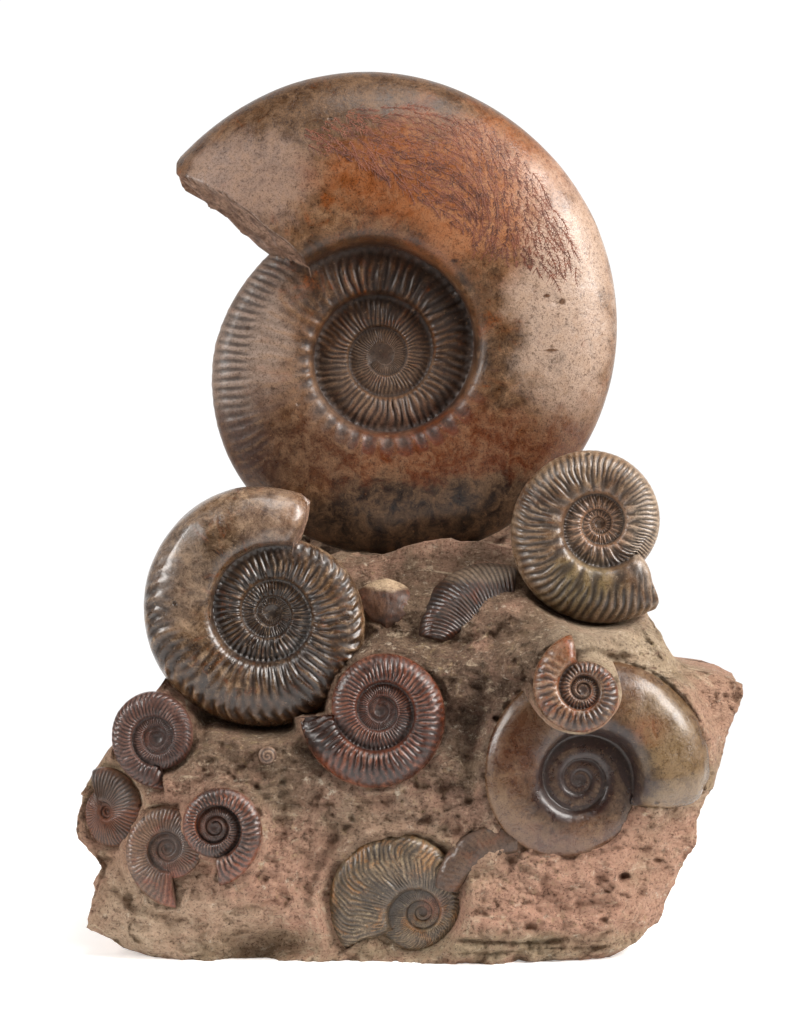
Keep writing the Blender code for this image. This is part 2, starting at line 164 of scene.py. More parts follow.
def shell_finish(name, *colours, gloss=0.3, patches=(), rust_share=0.5, streaks=0.5, coat=0.35):
    """Polished fossil shell: mottled body, rusty clouds, darker between the ribs, painted shade in the
    umbilical wall and beside the covered seams, and worn, lighter crests.

    The colours are those of the body, its dark and its light clouds, the rust, and the grooves.
    """
    body, dark, light, rust, groove = (tint(*colour) for colour in colours)
    material, shader, at = new_finish(name)
    tree = at.id_data
    grooves_and_shade, broken, turns, share = (add(tree, "ShaderNodeAttribute", attribute_name=mark).outputs["Fac"]
                                    for mark in ("grooves_and_shade", "broken", "turns", "share"))
    broad = clouds(at, 23, 6, 0.66, 0.7)
    middle = clouds(at, 88, 8, 0.72, 0.6)
    fine = clouds(at, 420, 5, 0.65)

    colour = blend(between(broad, 0.4, 0.6), dark, body)
    colour = blend(between(middle, 0.52, 0.7, 0.0, 0.8), colour, light)
    colour = blend(between(middle, 0.47, 0.34, 0.0, 0.7), colour, dark)
    veins = clouds(at, 42, 9, 0.76, 1.2)
    colour = blend(between(veins, 1 - rust_share, 1.14 - rust_share), colour, rust)
    # streaks across the whorl, as the growth lines run
    spiral = add(tree, "ShaderNodeCombineXYZ", {0: times(turns, 75.0), 1: times(share, 2.4)}).outputs[0]
    streak = clouds(spiral, 1, 7, 0.66, 0.25)
    colour = blend(between(streak, 0.54, 0.7, 0.0, streaks), colour, rust)
    colour = blend(between(streak, 0.46, 0.32, 0.0, streaks), colour, groove)
    colour = patched(colour, at, patches, between(middle, 0.28, 0.56, 0.5, 1.0))
    # darker in the rib grooves, with painted shade in the umbilical wall and beside the covered seams; wear on
    # the crests
    colour = blend(times(between(grooves_and_shade, 0.15, 0.95), 0.8), colour, groove)
    worn = times(between(grooves_and_shade, 0.16, 0.0), between(middle, 0.35, 0.65, 0.0, 0.45))
    colour = blend(worn, colour, light)
    # dust-fine dark and light specks
    dust = clouds(at, 900, 3, 0.7)
    specks = clouds(at, 330, 5, 0.75)
    colour = blend(between(dust, 0.52, 0.3, 0.0, 0.72), colour, tint(120, 100, 84), "MULTIPLY")
    colour = blend(between(specks, 0.5, 0.3, 0.0, 0.72), colour, tint(120, 96, 80), "MULTIPLY")
    colour = blend(between(specks, 0.58, 0.7, 0.0, 0.5), colour, light)

    height = plus(plus(times(middle, 0.8), times(fine, 0.45)), times(streak, 0.35))
    rough = plus(between(middle, 0.3, 0.7, gloss - 0.1, gloss + 0.16), times(grooves_and_shade, 0.22))

    # small pits
    pits = add(tree, "ShaderNodeTexVoronoi", {"Vector": at, "Scale": 60.0, "Randomness": 1.0})
    pit = times(between(pits.outputs["Distance"], 0.13, 0.06), between(clouds(at, 23, 2), 0.55, 0.65))
    colour = blend(times(pit, 0.8), colour, groove)
    height = work("SUBTRACT", height, times(pit, 1.6))

    # a broken end shows pale, grainy stone
    grain = clouds(at, 260, 7, 0.75)
    lumps = clouds(at, 75, 6, 0.7)
    stone = blend(between(lumps, 0.35, 0.65), tint(104, 76, 60), tint(168, 134, 112))
    stone = blend(between(grain, 0.54, 0.38, 0.0, 0.8), stone, tint(84, 60, 48))
    colour = blend(broken, colour, stone)
    height = plus(height, times(times(broken, grain), 4.0))
    finish(shader, colour, plus(rough, times(broken, 0.5)), height, 0.0007)
    shader.inputs["Specular IOR Level"].default_value = 0.42
    shader.inputs["Coat Weight"].default_value = coat
    shader.inputs["Coat Roughness"].default_value = 0.2
    return material


# The shells


@dataclass
class Ribs:
    """One set of ribs or nodes: how many in a whorl, how high in millimetres, and where they run.

    Shares go from the seam to the rim of a whorl, turns back from the mouth. Ribs sweep forward to the rim.
    """

    count: int
    height: float
    shares: tuple = (0.05, 1.2)
    turns: tuple = (-1.0, 9.0)
    sharp: float = 1.0
    sweep: float = 0.0
    fade: float = 0.12
    turn_fade: float = 0.1
    wander: float = 0.1
    uneven: float = 0.22

    def relief(self, turns, shares):
        """The ribs' window, and their crests from 0 to 1."""
        window = 1.0
        for places, (first, last), half in ((shares, self.shares, self.fade / 2),
                                            (turns, self.turns, self.turn_fade)):
            window = window * ramp(places, first - half, first + half)
            window = window * (1 - ramp(places, last - half, last + half))
        phase = self.count * (turns + self.sweep * shares ** 2)
        # no two ribs are quite alike, and none is quite straight
        phase = phase + self.wander * np.sin(math.tau * (7.3 * turns + 1.7 * shares) + self.count)
        phase = phase + 0.6 * self.wander * np.sin(math.tau * (17.1 * turns - 2.3 * shares) + 4.1)
        chance = np.modf(np.abs(np.sin(np.round(phase) * 12.99 + self.count) * 437.5))[0]
        along = 0.5 + 0.5 * np.sin(math.tau * (7 * chance + (1.2 + chance) * shares))
        crest = (0.5 + 0.5 * np.cos(math.tau * phase)) ** self.sharp
        return window, crest * (1 + self.uneven * (chance + along - 1))


# how far back along a whorl the slant of its broken end reaches, in turns
MOUTH_REACH = 0.12
MOUTH_ROWS = 10


# how sharply a whorl's flank turns over at its rim
FULLNESS = 2.3


@dataclass
class Coil:
    """The shape of one shell in its own plane: x across, z up, -y towards the front.

    Turns are counted back from the mouth. The radii are those of the outer rim at each eighth of the last
    whorl, mouth first. Lengths are millimetres and angles degrees, but for the centre.
    """

    centre: tuple
    mouth: float
    turn: int
    radii: tuple
    seam: float
    seam_ratio: float
    half_width: float
    pitch: float = 0.0
    yaw: float = 0.0
    crest: float = 0.32
    shoulder: float = 0.86
    width_power: float = 1.1
    edge: tuple = ((0.0, 0.0), (1.0, 0.0))
    inside: tuple = ((0.0, 0.0), (1.0, 0.0))
    end: tuple = (0.0, 0.02)
    bumps: tuple = ()
    warp: tuple = (0.0, 0.0, 0.05)
    wall: float = 0.035
    keel: float = 0.0
    broken: float = 1.0
    seam_curve: float = 0.0
    slope: float = 0.0

    def __post_init__(self):
        self.centre = Vector(self.centre)
        self.mouth, self.pitch, self.yaw = np.radians((self.mouth, self.pitch, self.yaw))
        self.seam, self.half_width, self.keel = np.array((self.seam, self.half_width, self.keel)) * MM
        self.first_radius = self.radii[0] * MM
        self.eighths = len(self.radii) - 1
        growth = math.log(self.radii[0] / self.radii[-1])
        turns, eighth = np.divmod(np.arange(self.eighths * 8), self.eighths)
        self.logs = np.log(np.array(self.radii) * MM)[eighth] - growth * turns
        self.edge = np.array(self.edge).T
        self.inside = np.array(self.inside).T

    def rim(self, turns):
        """The rim radius, on a smooth curve through the measured ones."""
        at = np.clip(np.asarray(turns, float) * self.eighths, 0.0, len(self.logs) - 2.001)
        low = np.floor(at).astype(int)
        share = at - low
        before = self.logs[np.maximum(low - 1, 0)]
        first = self.logs[low]
        second = self.logs[low + 1]
        after = self.logs[np.minimum(low + 2, len(self.logs) - 1)]
        slope = (second - before) / 2
        next_slope = (after - first) / 2
        curve = first + slope * share + (3 * (second - first) - 2 * slope - next_slope) * share ** 2
        return np.exp(curve + (2 * (first - second) + slope + next_slope) * share ** 3)

    def seam_at(self, turns):
        return self.seam * self.seam_ratio ** -turns * np.exp(-self.seam_curve * turns ** 2)

    def width(self, turns):
        return self.half_width * (self.rim(turns) / self.first_radius) ** self.width_power

    def split(self, turns):
        """Where the next whorl covers the flank, as a share of the way from the seam to the rim."""
        turns = np.maximum(turns, 1.0)
        seam = self.seam_at(turns)
        return (self.seam_at(turns - 1) - seam) / (self.rim(turns) - seam)

    def flank(self, share, turns=0.0):
        rise = np.sin(math.pi / 2 * np.clip(share / self.crest, 0, 1))
        fall = np.clip((share - self.crest) / (1 - self.crest), 0, 1)
        section = np.where(share < self.crest, self.shoulder + (1 - self.shoulder) * rise,
                           np.sqrt(np.maximum(0.0, 1 - fall ** FULLNESS)))
        return section * (1 - self.slope * ramp(turns, 1.02, 1.35) * fall)

    def lag(self, turns, share):
        """How far the broken edge lies behind the mouth's angle, in turns. It fades away along the whorl."""
        front = np.interp(share, *self.edge) * np.clip(1 - turns / MOUTH_REACH, 0, 1)
        split = self.split(turns)
        corner = self.edge[1][0] * np.clip(share / split, 0, 1) ** 2
        over = np.clip((share - split) / (1 - split), 0, 1) * (turns <= 1 + 1e-9)
        beneath = corner + (self.inside[1][0] - corner) * over
        return front + beneath * np.clip(1 - np.abs(turns - 1) / MOUTH_REACH, 0, 1)

    def surface(self, turns, share, floor):
        """Points of the plain shell. The umbilical wall rises from floor, the height of the whorl beneath."""
        seam = self.seam_at(turns)
        radius = seam + (self.rim(turns) - seam) * share
        height = self.width(turns) * self.flank(share, turns)
        height = floor + (height - floor) * (1 - np.exp(-share / self.wall))
        amount, reach = self.end
        height = height * (1 - amount * np.clip(1 - turns / reach, 0, 1) ** 2)
        angle = self.mouth + self.turn * math.tau * (turns + self.lag(turns, share))
        x, z = radius * np.cos(angle), radius * np.sin(angle)
        pull = np.clip(1 - (radius / self.warp[2]) ** 2, 0, 1) ** 2
        return np.stack([x + self.warp[0] * pull, -height, z + self.warp[1] * pull], axis=-1)

    def skin(self, turns, share, floor, ribs, wobble):
        """Points of the finished surface, its outward direction, and how dark it is there: the rib grooves, and
        painted shade in the umbilical wall and beside the covered seam.
        """
        step = 0.0002
        plain = self.surface(turns, share, floor)
        along = self.surface(turns + step, share, floor) - plain
        across = self.surface(turns, share + step, floor) - plain
        normal = np.cross(along, across) * -self.turn
        normal = normal / np.maximum(np.linalg.norm(normal, axis=-1, keepdims=True), 1e-15)
        size = (self.width(turns) / self.half_width) ** 0.8
        rise = 1 - np.exp(-share / self.wall)
        lift = np.zeros(share.shape)
        grooves_and_shade = np.zeros(share.shape)
        for rib in ribs:
            window, crest = rib.relief(turns, share)
            lift += rib.height * MM * window * (crest - 0.5) * rise
            grooves_and_shade = np.maximum(grooves_and_shade, window * (1 - np.clip(crest, 0, 1)) * min(1.0, rib.height))
        lift += self.keel * ramp(share, 0.93, 1.0)
        for x, z, radius, height in self.bumps:
            near = ((plain[..., 0] - x * MM) ** 2 + (plain[..., 2] - z * MM) ** 2) / (radius * MM) ** 2
            lift += height * MM * np.exp(-near) * (turns < 1)
        waves = np.stack([turns * 9 + 0 * share, share * 3 + 0 * turns, self.centre.x + 0 * share], axis=-1)
        lift += wobble * MM * fractal(waves, 1.0, 3, self.centre.z * 9)
        # painted shade down the umbilical wall
        grooves_and_shade = np.maximum(grooves_and_shade, np.exp(-share / (1.4 * self.wall)) * 0.9)
        # painted shade beside the line where the next whorl covers the flank
        low = 0.45 + 0.27 * ramp(turns, 1.25, 1.55)
        covered = ramp(share / self.split(turns), low, 1.0) ** 0.7 * ramp(turns, 1.0, 1.06)
        grooves_and_shade = np.maximum(grooves_and_shade, 0.95 * covered)
        return plain + normal * (lift * size)[..., None], normal, grooves_and_shade

    def floor(self, turns):
        """The height of the whorl beneath, where the umbilical seam lies on it."""
        return self.width(turns + 1) * self.flank(self.split(turns + 1), turns + 1)

    def place(self):
        turned = Euler((self.pitch, 0.0, self.yaw)).to_matrix().to_4x4()
        return Matrix.Translation(self.centre + CENTRE_SHIFT) @ turned


def sheet(points, marks):
    """A grid laid over an array of points, with its marks."""
    deselect()
    columns, rows = points.shape[0] - 1, points.shape[1] - 1
    bpy.ops.mesh.primitive_grid_add(x_subdivisions=columns, y_subdivisions=rows, calc_uvs=False)
    made = bpy.context.object
    mesh = made.data
    mesh.vertices.foreach_set("co", points.transpose(1, 0, 2).reshape(-1).astype(np.float32))
    for name, values in marks.items():
        mark = mesh.attributes.new(name, "FLOAT", "POINT")
        mark.data.foreach_set("value", values.T.reshape(-1).astype(np.float32))
    mesh.update()
    return made


def edit(made, action="SELECT", mode="VERT"):
    """Open a piece in edit mode with all of it or nothing selected."""
    pick(made)
    bpy.ops.object.mode_set(mode="EDIT")
    bpy.ops.mesh.select_mode(type=mode)
    bpy.ops.mesh.select_all(action=action)


def leave():
    bpy.ops.object.mode_set(mode="OBJECT")


def join(pieces, name, hole_sides):
    """Join sheets whose edges meet, close the seams and fill the small holes."""
    deselect()
    for piece in pieces:
        piece.select_set(True)
    bpy.context.view_layer.objects.active = pieces[0]
    bpy.ops.object.join()
    made = bpy.context.object
    made.name = name
    edit(made)
    bpy.ops.mesh.remove_doubles(threshold=2e-6)
    bpy.ops.mesh.select_all(action="SELECT")
    bpy.ops.mesh.fill_holes(sides=hole_sides)
    leave()
    return made


def complete(made):
    """Mirror a half shell over its middle plane."""
    pick(made)
    other = made.modifiers.new("other_half", "MIRROR")
    other.use_axis = (False, True, False)
    other.use_clip = True
    other.merge_threshold = 0.00001
    bpy.ops.object.modifier_apply(modifier=other.name)


def close_back(made, depth, share=1.0):
    """Pull a piece's open edge back into the rock, draw it in, and close it with a flat face."""
    edit(made, "DESELECT", "EDGE")
    bpy.ops.mesh.select_non_manifold(extend=False, use_wire=False, use_boundary=True, use_multi_face=False,
                                     use_non_contiguous=False, use_verts=False)
    bpy.ops.mesh.extrude_edges_move(TRANSFORM_OT_translate={"value": (0, depth, 0)})
    bpy.ops.transform.resize(value=(share, 1, share), center_override=(0, 0, 0))
    bpy.ops.mesh.edge_face_add()
    bpy.ops.mesh.poke()
    leave()


def settle(made, matrix):
    """Turn the faces outwards, smooth them, and move the mesh to its place."""
    edit(made)
    bpy.ops.mesh.normals_make_consistent(inside=False)
    leave()
    bpy.ops.object.shade_smooth()
    made.data.name = made.name
    made.data.transform(matrix)
    made.data.update()


def coil_shell(name, coil, columns, whorls, inner_rows, outer_rows, ribs, mirrored, wobble):
    """A fine shell: inner sheet, outer sheet and broken mouth, joined, then mirrored or closed behind."""
    total = int(round(columns * whorls))
    turns = np.arange(total + 1)[:, None] / columns
    split = coil.split(turns)
    inner = split * (np.arange(inner_rows + 1)[None, :] / inner_rows) ** 1.8
    steps = np.sin(math.pi / 2 * np.arange(outer_rows + 1)[None, :] / outer_rows)
    outer = split[:columns + 1] + (1 - split[:columns + 1]) * steps
    floor = coil.floor(turns)
    inner_turns = turns + 0 * inner
    outer_turns = turns[:columns + 1] + 0 * outer
    flank, _, flank_grooves_and_shade = coil.skin(inner_turns, inner, floor, ribs, wobble)
    venter, _, venter_grooves_and_shade = coil.skin(outer_turns, outer, floor[:columns + 1], ribs, wobble)
    # a whorl's seam lies on the whorl beneath it, and the innermost one closes on the heart
    flank[:total + 1 - columns, 0] = flank[columns:, -1]
    heart = np.array([coil.warp[0], flank[total, inner_rows // 2, 1], coil.warp[1]])
    flank[total + 1 - columns:, 0] = heart
    venter[:, 0] = flank[:columns + 1, -1]
    venter[:, -1, 1] = 0.0

    # the mouth: from the flank's broken edge in to the middle plane and the whorl beneath
    edge = np.concatenate([flank[0], venter[0, 1:]])
    beneath = venter[-1]
    across = np.linspace(0, 1, inner_rows + 1)[1:]
    low, high = coil.rim(1.0), coil.rim(0.0)
    lag = np.interp(across, *coil.inside)
    angle = coil.mouth + coil.turn * math.tau * lag
    radius = low + (high - low) * across
    middle = np.stack([radius * np.cos(angle), 0 * angle, radius * np.sin(angle)], axis=-1)
    inside = np.concatenate([beneath, middle])
    share = np.linspace(0, 1, MOUTH_ROWS + 1)[None, :, None]
    mouth = edge[:, None] + (inside - edge)[:, None] * share
    swell = np.sin(math.pi * share[..., 0]) * np.linspace(0, 1, len(edge))[:, None] ** 0.3
    rough = fractal(mouth, 70.0, 5) * swell
    forward = -coil.turn * np.array([-math.sin(coil.mouth), 0.0, math.cos(coil.mouth)])
    mouth = mouth + (rough * 0.1 * coil.half_width)[..., None] * (forward + np.array([0.0, -0.4, 0.0]))
    mouth[-1] = edge[-1]
    mouth[0] = edge[0]

    def marks(grooves_and_shade, broken, turns, share):
        return {"grooves_and_shade": grooves_and_shade, "broken": np.full(grooves_and_shade.shape, broken), "turns": turns, "share": share}

    nothing = np.zeros(mouth.shape[:2])
    pieces = [sheet(flank, marks(flank_grooves_and_shade, 0.0, inner_turns, inner)),
              sheet(venter, marks(venter_grooves_and_shade, 0.0, outer_turns, outer)),
              sheet(mouth, marks(nothing, coil.broken, nothing, nothing))]
    made = join(pieces, name, inner_rows + 4)
    if mirrored:
        complete(made)
    else:
        close_back(made, coil.half_width * 0.5, 0.8)
    settle(made, coil.place())
    return made


COILS = {
    "great_ammonite": Coil(
        (-0.0149, 0.035, 0.4123), 138, -1, (198.1, 197.2, 182.5, 166.8, 155.5, 146.5, 137, 120, 105.5),
        77.4, 1.616, 47, shoulder=0.84, width_power=1.5, wall=0.02, seam_curve=0.07, slope=0.65,
        warp=(0.0012, -0.0035, 0.078),
        edge=((0, 0.019), (0.09, 0.022), (0.2, 0.019), (0.33, 0.0125), (0.47, 0.012), (0.56, 0.009),
              (0.63, 0.0085), (0.72, 0.004), (0.79, 0.0025), (0.87, -0.001), (0.928, -0.0039),
              (0.985, 0.0014), (1, 0.0053)),
        inside=((0, -0.0039), (0.07, -0.0053), (0.18, -0.004), (0.3, -0.0048), (0.52, -0.0022), (0.62, -0.005),
                (0.8, -0.0078), (0.92, -0.0033), (0.98, 0.0014), (1, 0.0053)),
        bumps=((-98, 96, 16, 1.2), (-70, 118, 12, -0.8), (-60, 86, 7, -0.7), (112, 38, 3, -1.6),
               (122, 34, 2.6, -1.4), (150, 60, 20, -0.8), (118, -14, 3, -0.8), (40, 62, 4, -1))),
    "left_ammonite": Coil(
        (-0.09, -0.052, 0.2336), 70, 1, (84, 89.1, 87.8, 85.2, 79.5, 74.5, 66.5, 59.8, 53.7), 47.6, 2,
        23, pitch=-2, width_power=1.5, wall=0.03, slope=0.45,
        edge=((0, 0.004), (0.3, 0.004), (0.7, 0), (0.9, 0.004), (1, 0.016)),
        inside=((0, -0.006), (0.5, -0.004), (0.9, 0.002), (1, 0.016)), end=(0.25, 0.02),
        bumps=((0, 60, 6.5, 2.2), (-41, 53, 4, 1.6), (-34, 56, 4.5, -1.5), (-26, 63, 9, 0.9),
               (16, 66, 5, -1.2), (-52, 46, 8, -1), (24, 76, 3.5, -1), (-60, 22, 14, 0.8)), broken=0.9),
    "ribbed_ammonite": Coil(
        (0.1341, -0.044, 0.2944), -54, -1, (69.1, 67.7, 63.8, 58.6, 53.5, 48.2, 43.4, 41, 40), 31.5, 2.1,
        20, keel=0.5, width_power=1.15, slope=0.25,
        edge=((0, -0.045), (0.23, -0.04), (0.5, -0.022), (0.73, -0.011), (0.93, -0.002), (1, 0.008)),
        inside=((0, -0.04), (0.5, -0.018), (0.9, -0.002), (1, 0.008)), end=(0.45, 0.03),
        bumps=((38, -54, 6, 1.2), (46, -44, 5, -1.2), (30, -40, 6, -0.9)), broken=0.35),
    "red_ammonite": Coil(
        (-0.0152, -0.078, 0.1698), 185, 1, (54, 53.3, 51.2, 46.6, 42.8, 40, 37.7, 34.9, 32.3), 31.1, 2,
        14, pitch=-7, keel=0.5, end=(0.98, 0.09), broken=0.2, slope=0.3, width_power=1.2),
    "smooth_ammonite": Coil(
        (0.1191, -0.082, 0.1234), -6, 1, (88.8, 88.6, 80.2, 70.5, 64.8, 60.5, 51.5, 44.5, 40.5), 37.8, 2.2,
        22, pitch=-4, yaw=7, keel=0.6, width_power=2.1, wall=0.08, shoulder=0.9, crest=0.32, slope=0.3,
        edge=((0, -0.056), (0.06, -0.053), (0.35, -0.042), (0.63, -0.028), (0.87, -0.013), (1, 0.02)),
        inside=((0, -0.056), (0.4, -0.04), (0.8, -0.016), (1, 0.02)), end=(0.72, 0.05), broken=0,
        bumps=((42, 52, 5, -1.2), (62, 20, 4, -1), (50, 34, 8, -0.8), (60, -8, 5, 0.7))),
    "small_ammonite": Coil(
        (0.1194, -0.1038, 0.1868), 101, 1, (37.9, 34.4, 32.1, 29.6, 27.6, 25.5, 23.1, 20.4, 18.6), 17.9, 2,
        9, pitch=-12, width_power=1.1, slope=0.3, end=(0.4, 0.04), broken=0.6,
        bumps=((-8, 30, 4, 1.2), (-2, 26, 3, -1.2), (-12, 24, 3, -0.9))),
    "dark_ammonite": Coil(
        (-0.1667, -0.069, 0.15), -80, -1, (34.6, 31.8, 31.2, 32.4, 32, 28, 25, 23.7, 21.7), 19, 1.8,
        10, yaw=-8, pitch=-8, end=(0.85, 0.08), broken=0.2),
    "edge_ammonite": Coil(
        (-0.201, -0.056, 0.0985), 115, -1, (30, 29.5, 28.5, 27.5, 26, 24, 21, 18.5, 17), 6.8, 1.9,
        8, yaw=-32, crest=0.2),
    "buried_ammonite": Coil(
        (-0.1591, -0.08, 0.0762), -80, -1, (40, 33, 29.5, 28.5, 28.4, 27.4, 25.4, 22.7, 20.2), 14.8, 1.8,
        9, yaw=-10, pitch=-6, end=(0.6, 0.06), broken=0.7, width_power=1.6),
    "glossy_ammonite": Coil(
        (-0.126, -0.092, 0.093), -86, 1, (40.2, 34.4, 31.6, 29.4, 26.2, 23.4, 22.2, 21.4, 20.8), 20.1, 1.9,
        10, yaw=-4, end=(0.4, 0.04), broken=0.5),
    "sunken_ammonite": Coil(
        (-0.0007, -0.078, 0.0365), 218, -1, (49, 49.5, 51, 50, 44, 36, 31, 28, 26), 20, 2,
        11, pitch=4, warp=(0.014, -0.004, 0.05), width_power=1.5, end=(0.6, 0.04), broken=0),
}

# columns in a whorl, whorls, rows inside and outside the covering line, ribs, and whether it is mirrored
SHELLS = {
    "great_ammonite": (540, 3.8, 10, 32, [
        Ribs(56, 3.8, shares=(0.03, 1.2), turns=(1.02, 9), sweep=-0.06, sharp=1.2, fade=0.06, turn_fade=0.06,
             wander=0.16, uneven=0.4),
        Ribs(36, 2, shares=(0.03, 0.15), turns=(0.46, 1.02), fade=0.12, turn_fade=0.1, sharp=1.3, uneven=0.5),
        Ribs(108, 1, shares=(0.62, 0.99), turns=(0.8, 9), sweep=-0.01, fade=0.3, turn_fade=0.06),
        Ribs(54, 0.5, shares=(0.1, 1.2), turns=(0.84, 9), sweep=-0.02, fade=0.1, turn_fade=0.08),
    ], True, 1),
    "left_ammonite": (440, 3.9, 10, 24, [
        Ribs(52, 2, shares=(0.05, 0.93), turns=(0.46, 9), sweep=-0.045, fade=0.12, turn_fade=0.16, uneven=0.32),
        Ribs(52, 1.7, shares=(0.6, 0.93), turns=(0.25, 0.52), sweep=-0.045, fade=0.2, turn_fade=0.06,
             uneven=0.4),
        Ribs(26, 2.1, shares=(0.03, 0.2), turns=(0.6, 9), fade=0.14, uneven=0.3),
    ], True, 0.8),
    "ribbed_ammonite": (462, 3.8, 10, 24, [
        Ribs(22, 1.2, shares=(0.06, 0.5), sweep=-0.02, fade=0.3, uneven=0.4),
        Ribs(66, 1.3, shares=(0.36, 0.95), sweep=-0.02, fade=0.2),
        Ribs(44, 0.7, shares=(0.04, 0.5), turns=(0.95, 9), sweep=-0.02, fade=0.1),
    ], True, 0.3),
    "red_ammonite": (440, 3.8, 10, 20,
        [Ribs(55, 1.4, shares=(0.08, 0.94), sweep=-0.03, fade=0.12)], False, 0.25),
    "smooth_ammonite": (300, 3.4, 16, 30,
        [Ribs(24, 0.08, shares=(0.1, 0.9), turns=(0.9, 9), sweep=-0.02, fade=0.1)], False, 0.9),
    "small_ammonite": (320, 3.4, 9, 18,
        [Ribs(32, 1.4, shares=(0.25, 0.94), turns=(0.1, 9), sweep=-0.02, fade=0.2)], False, 0.2),
    "dark_ammonite": (300, 3.6, 8, 16,
        [Ribs(50, 0.9, shares=(0.05, 0.95), sweep=-0.05, fade=0.12)], False, 0.25),
    "edge_ammonite": (300, 3, 8, 16,
        [Ribs(50, 0.8, shares=(0.1, 0.92), sweep=-0.01, fade=0.14)], False, 0.3),
    "buried_ammonite": (330, 3.4, 8, 16,
        [Ribs(55, 0.6, shares=(0.05, 0.95), sweep=-0.02, fade=0.12)], False, 0.4),
    "glossy_ammonite": (360, 3.6, 9, 18,
        [Ribs(45, 1.2, shares=(0.06, 0.94), sweep=-0.03, fade=0.12)], False, 0.2),
    "sunken_ammonite": (400, 3.2, 9, 20,
        [Ribs(66, 0.8, shares=(0.1, 0.94), sweep=-0.07, fade=0.15, wander=0.25, uneven=0.5)], False, 0.4),
}


# The rock

# the block's outline, depths, swells, pockets, cracks and seats are in millimetres
LEFT_EDGE = ((0, -178), (6, -196), (20, -216), (45, -213), (60, -208), (84, -228), (110, -222), (140, -203),
             (165, -176), (198, -160), (240, -136), (270, -100), (320, -60))
RIGHT_EDGE = ((0, 142), (8, 162), (23, 176), (45, 185), (72, 201), (87, 206), (122, 219), (150, 227),
              (183, 236.6), (190, 220), (194, 194), (205, 184), (226, 175), (250, 158), (285, 110),
              (320, 60))
FRONT_DRAW = 0.3
BACK_DRAW = 0.75
DRAW_POWER = 6
MIDDLE_PLANE = 0.45
ROUGHNESS = 0.005
ROUGHNESS_DETAIL = 24.0
TOP_HEIGHT = 0.269
TOP_RISE = 0.045
# where the block's lumps begin to be pressed in on each side, and the room beyond, in metres
RIGHT_REACH = (0.23, 0.0062)
LEFT_REACH = (0.2205, 0.0046)
BACK_REACH = (0.104, 0.0085)
FRONT_REACH = (0.108, 0.0072)
# how much of each kind of roughness the faces have
LUMPS = 0.0044
CHIPS = 0.0028
GRAINS = 0.0009
CRUST = 0.0014
STEPS = 0.0026
# cuts along each edge of the block, and the further ones of its front
BLOCK_CUTS = 63
FRONT_CUTS = 3
FRONT_DEPTH = ((0, 86), (30, 94), (100, 88), (150, 82), (200, 70), (235, 49), (262, 14), (272, 2), (320, -6))
BACK_DEPTH = ((0, 78), (60, 94), (150, 100), (240, 104), (320, 96))
FRONT_SWELLS = ((-190, 45, 50, 40, -6), (-215, 95, 35, 35, -20), (-142, 160, 14, 14, -22),
                (-80, 130, 50, 30, 4), (-90, 12, 30, 12, -20), (-28, 60, 50, 45, -13), (40, 16, 36, 26, 12),
                (140, 45, 50, 40, 4), (225, 160, 40, 80, -22), (215, 40, 45, 50, -22),
                (108, 205, 45, 30, 36), (-170, 160, 40, 30, 12), (110, 240, 60, 40, 12))
# finer lumps and hollows that only the looks have
FINE_SWELLS = ((30, 262, 50, 14, 10), (100, 9, 70, 9, 3), (-100, 4, 18, 10, -8), (77, 1, 6, 6, -12),
               (50.5, 147.3, 12, 35, -10), (-112.4, 141.9, 8, 7, 3), (4.5, 55, 22, 20, -4),
               (62, 221, 34, 17, -13), (-12, 218, 20, 14, -6))
# round pockets: x, z, radius, depth
POCKETS = ((149.1, 57.1, 4, 5.5), (172.7, 65.3, 3.2, 4.5), (135, 29.2, 3, 4), (84.4, 25.8, 4.2, 5.5),
           (-69.3, 144, 6, 3), (53.1, 186.6, 4, 1.5), (-99, 102, 4, 3), (12, 120, 5, 3), (64, 165, 3, 3),
           (-50, 106, 4, 3.5), (190, 40, 4, 3), (-178, 40, 4, 3))
# cracks, and ridges where the depth is below nought: points, half width, depth
FURROWS = (
    (((137, 48.9), (146, 46.5), (155.2, 41.5)), 1, 3),
    (((35.1, 16.9), (56, 16.8), (86.5, 12.8), (106, 14.9)), 1.6, 3.5),
    (((25, 10), (60, 8), (100, 9.5), (140, 10)), 1.4, 2.2),
    (((56.7, 63.9), (59, 52), (63.4, 38.7)), 1, 1.6),
    (((-59, 30), (-59, 45), (-53, 64), (-39, 82), (-16.5, 90.5),
      (12.5, 90), (34, 80)), 4, -4.5),
    (((176.1, 201.4), (195, 180), (213.3, 150.7)), 6, -5),
    (((85, 187), (110, 199), (140, 206), (170, 204)), 2.2, 3),
    (((-115, 125), (-95, 118), (-80, 123)), 1.5, 3),
    (((10, 95), (35, 105), (60, 115)), 1.8, 2.5),
    (((120, 70), (150, 78), (180, 70)), 1.6, 2.2),
    (((-205, 55), (-180, 35), (-150, 28)), 3, 3),
)
# how the rock meets each shell: how far round it the rock comes to its plane, and how far behind it lies
SEATS = {
    "left_ammonite": (10, 6), "ribbed_ammonite": (8, 4), "red_ammonite": (12, 1),
    "smooth_ammonite": (14, -2), "small_ammonite": (8, 2), "dark_ammonite": (8, 1),
    "edge_ammonite": (8, 1), "buried_ammonite": (8, -1), "glossy_ammonite": (8, 0),
    "sunken_ammonite": (10, -3),
}
ONLY_BACK = ("left_ammonite", "ribbed_ammonite")


def line(table, at):
    """The value at each place of a line through a table of places and values."""
    places, values = np.array(table).T
    return np.interp(at, places, values)


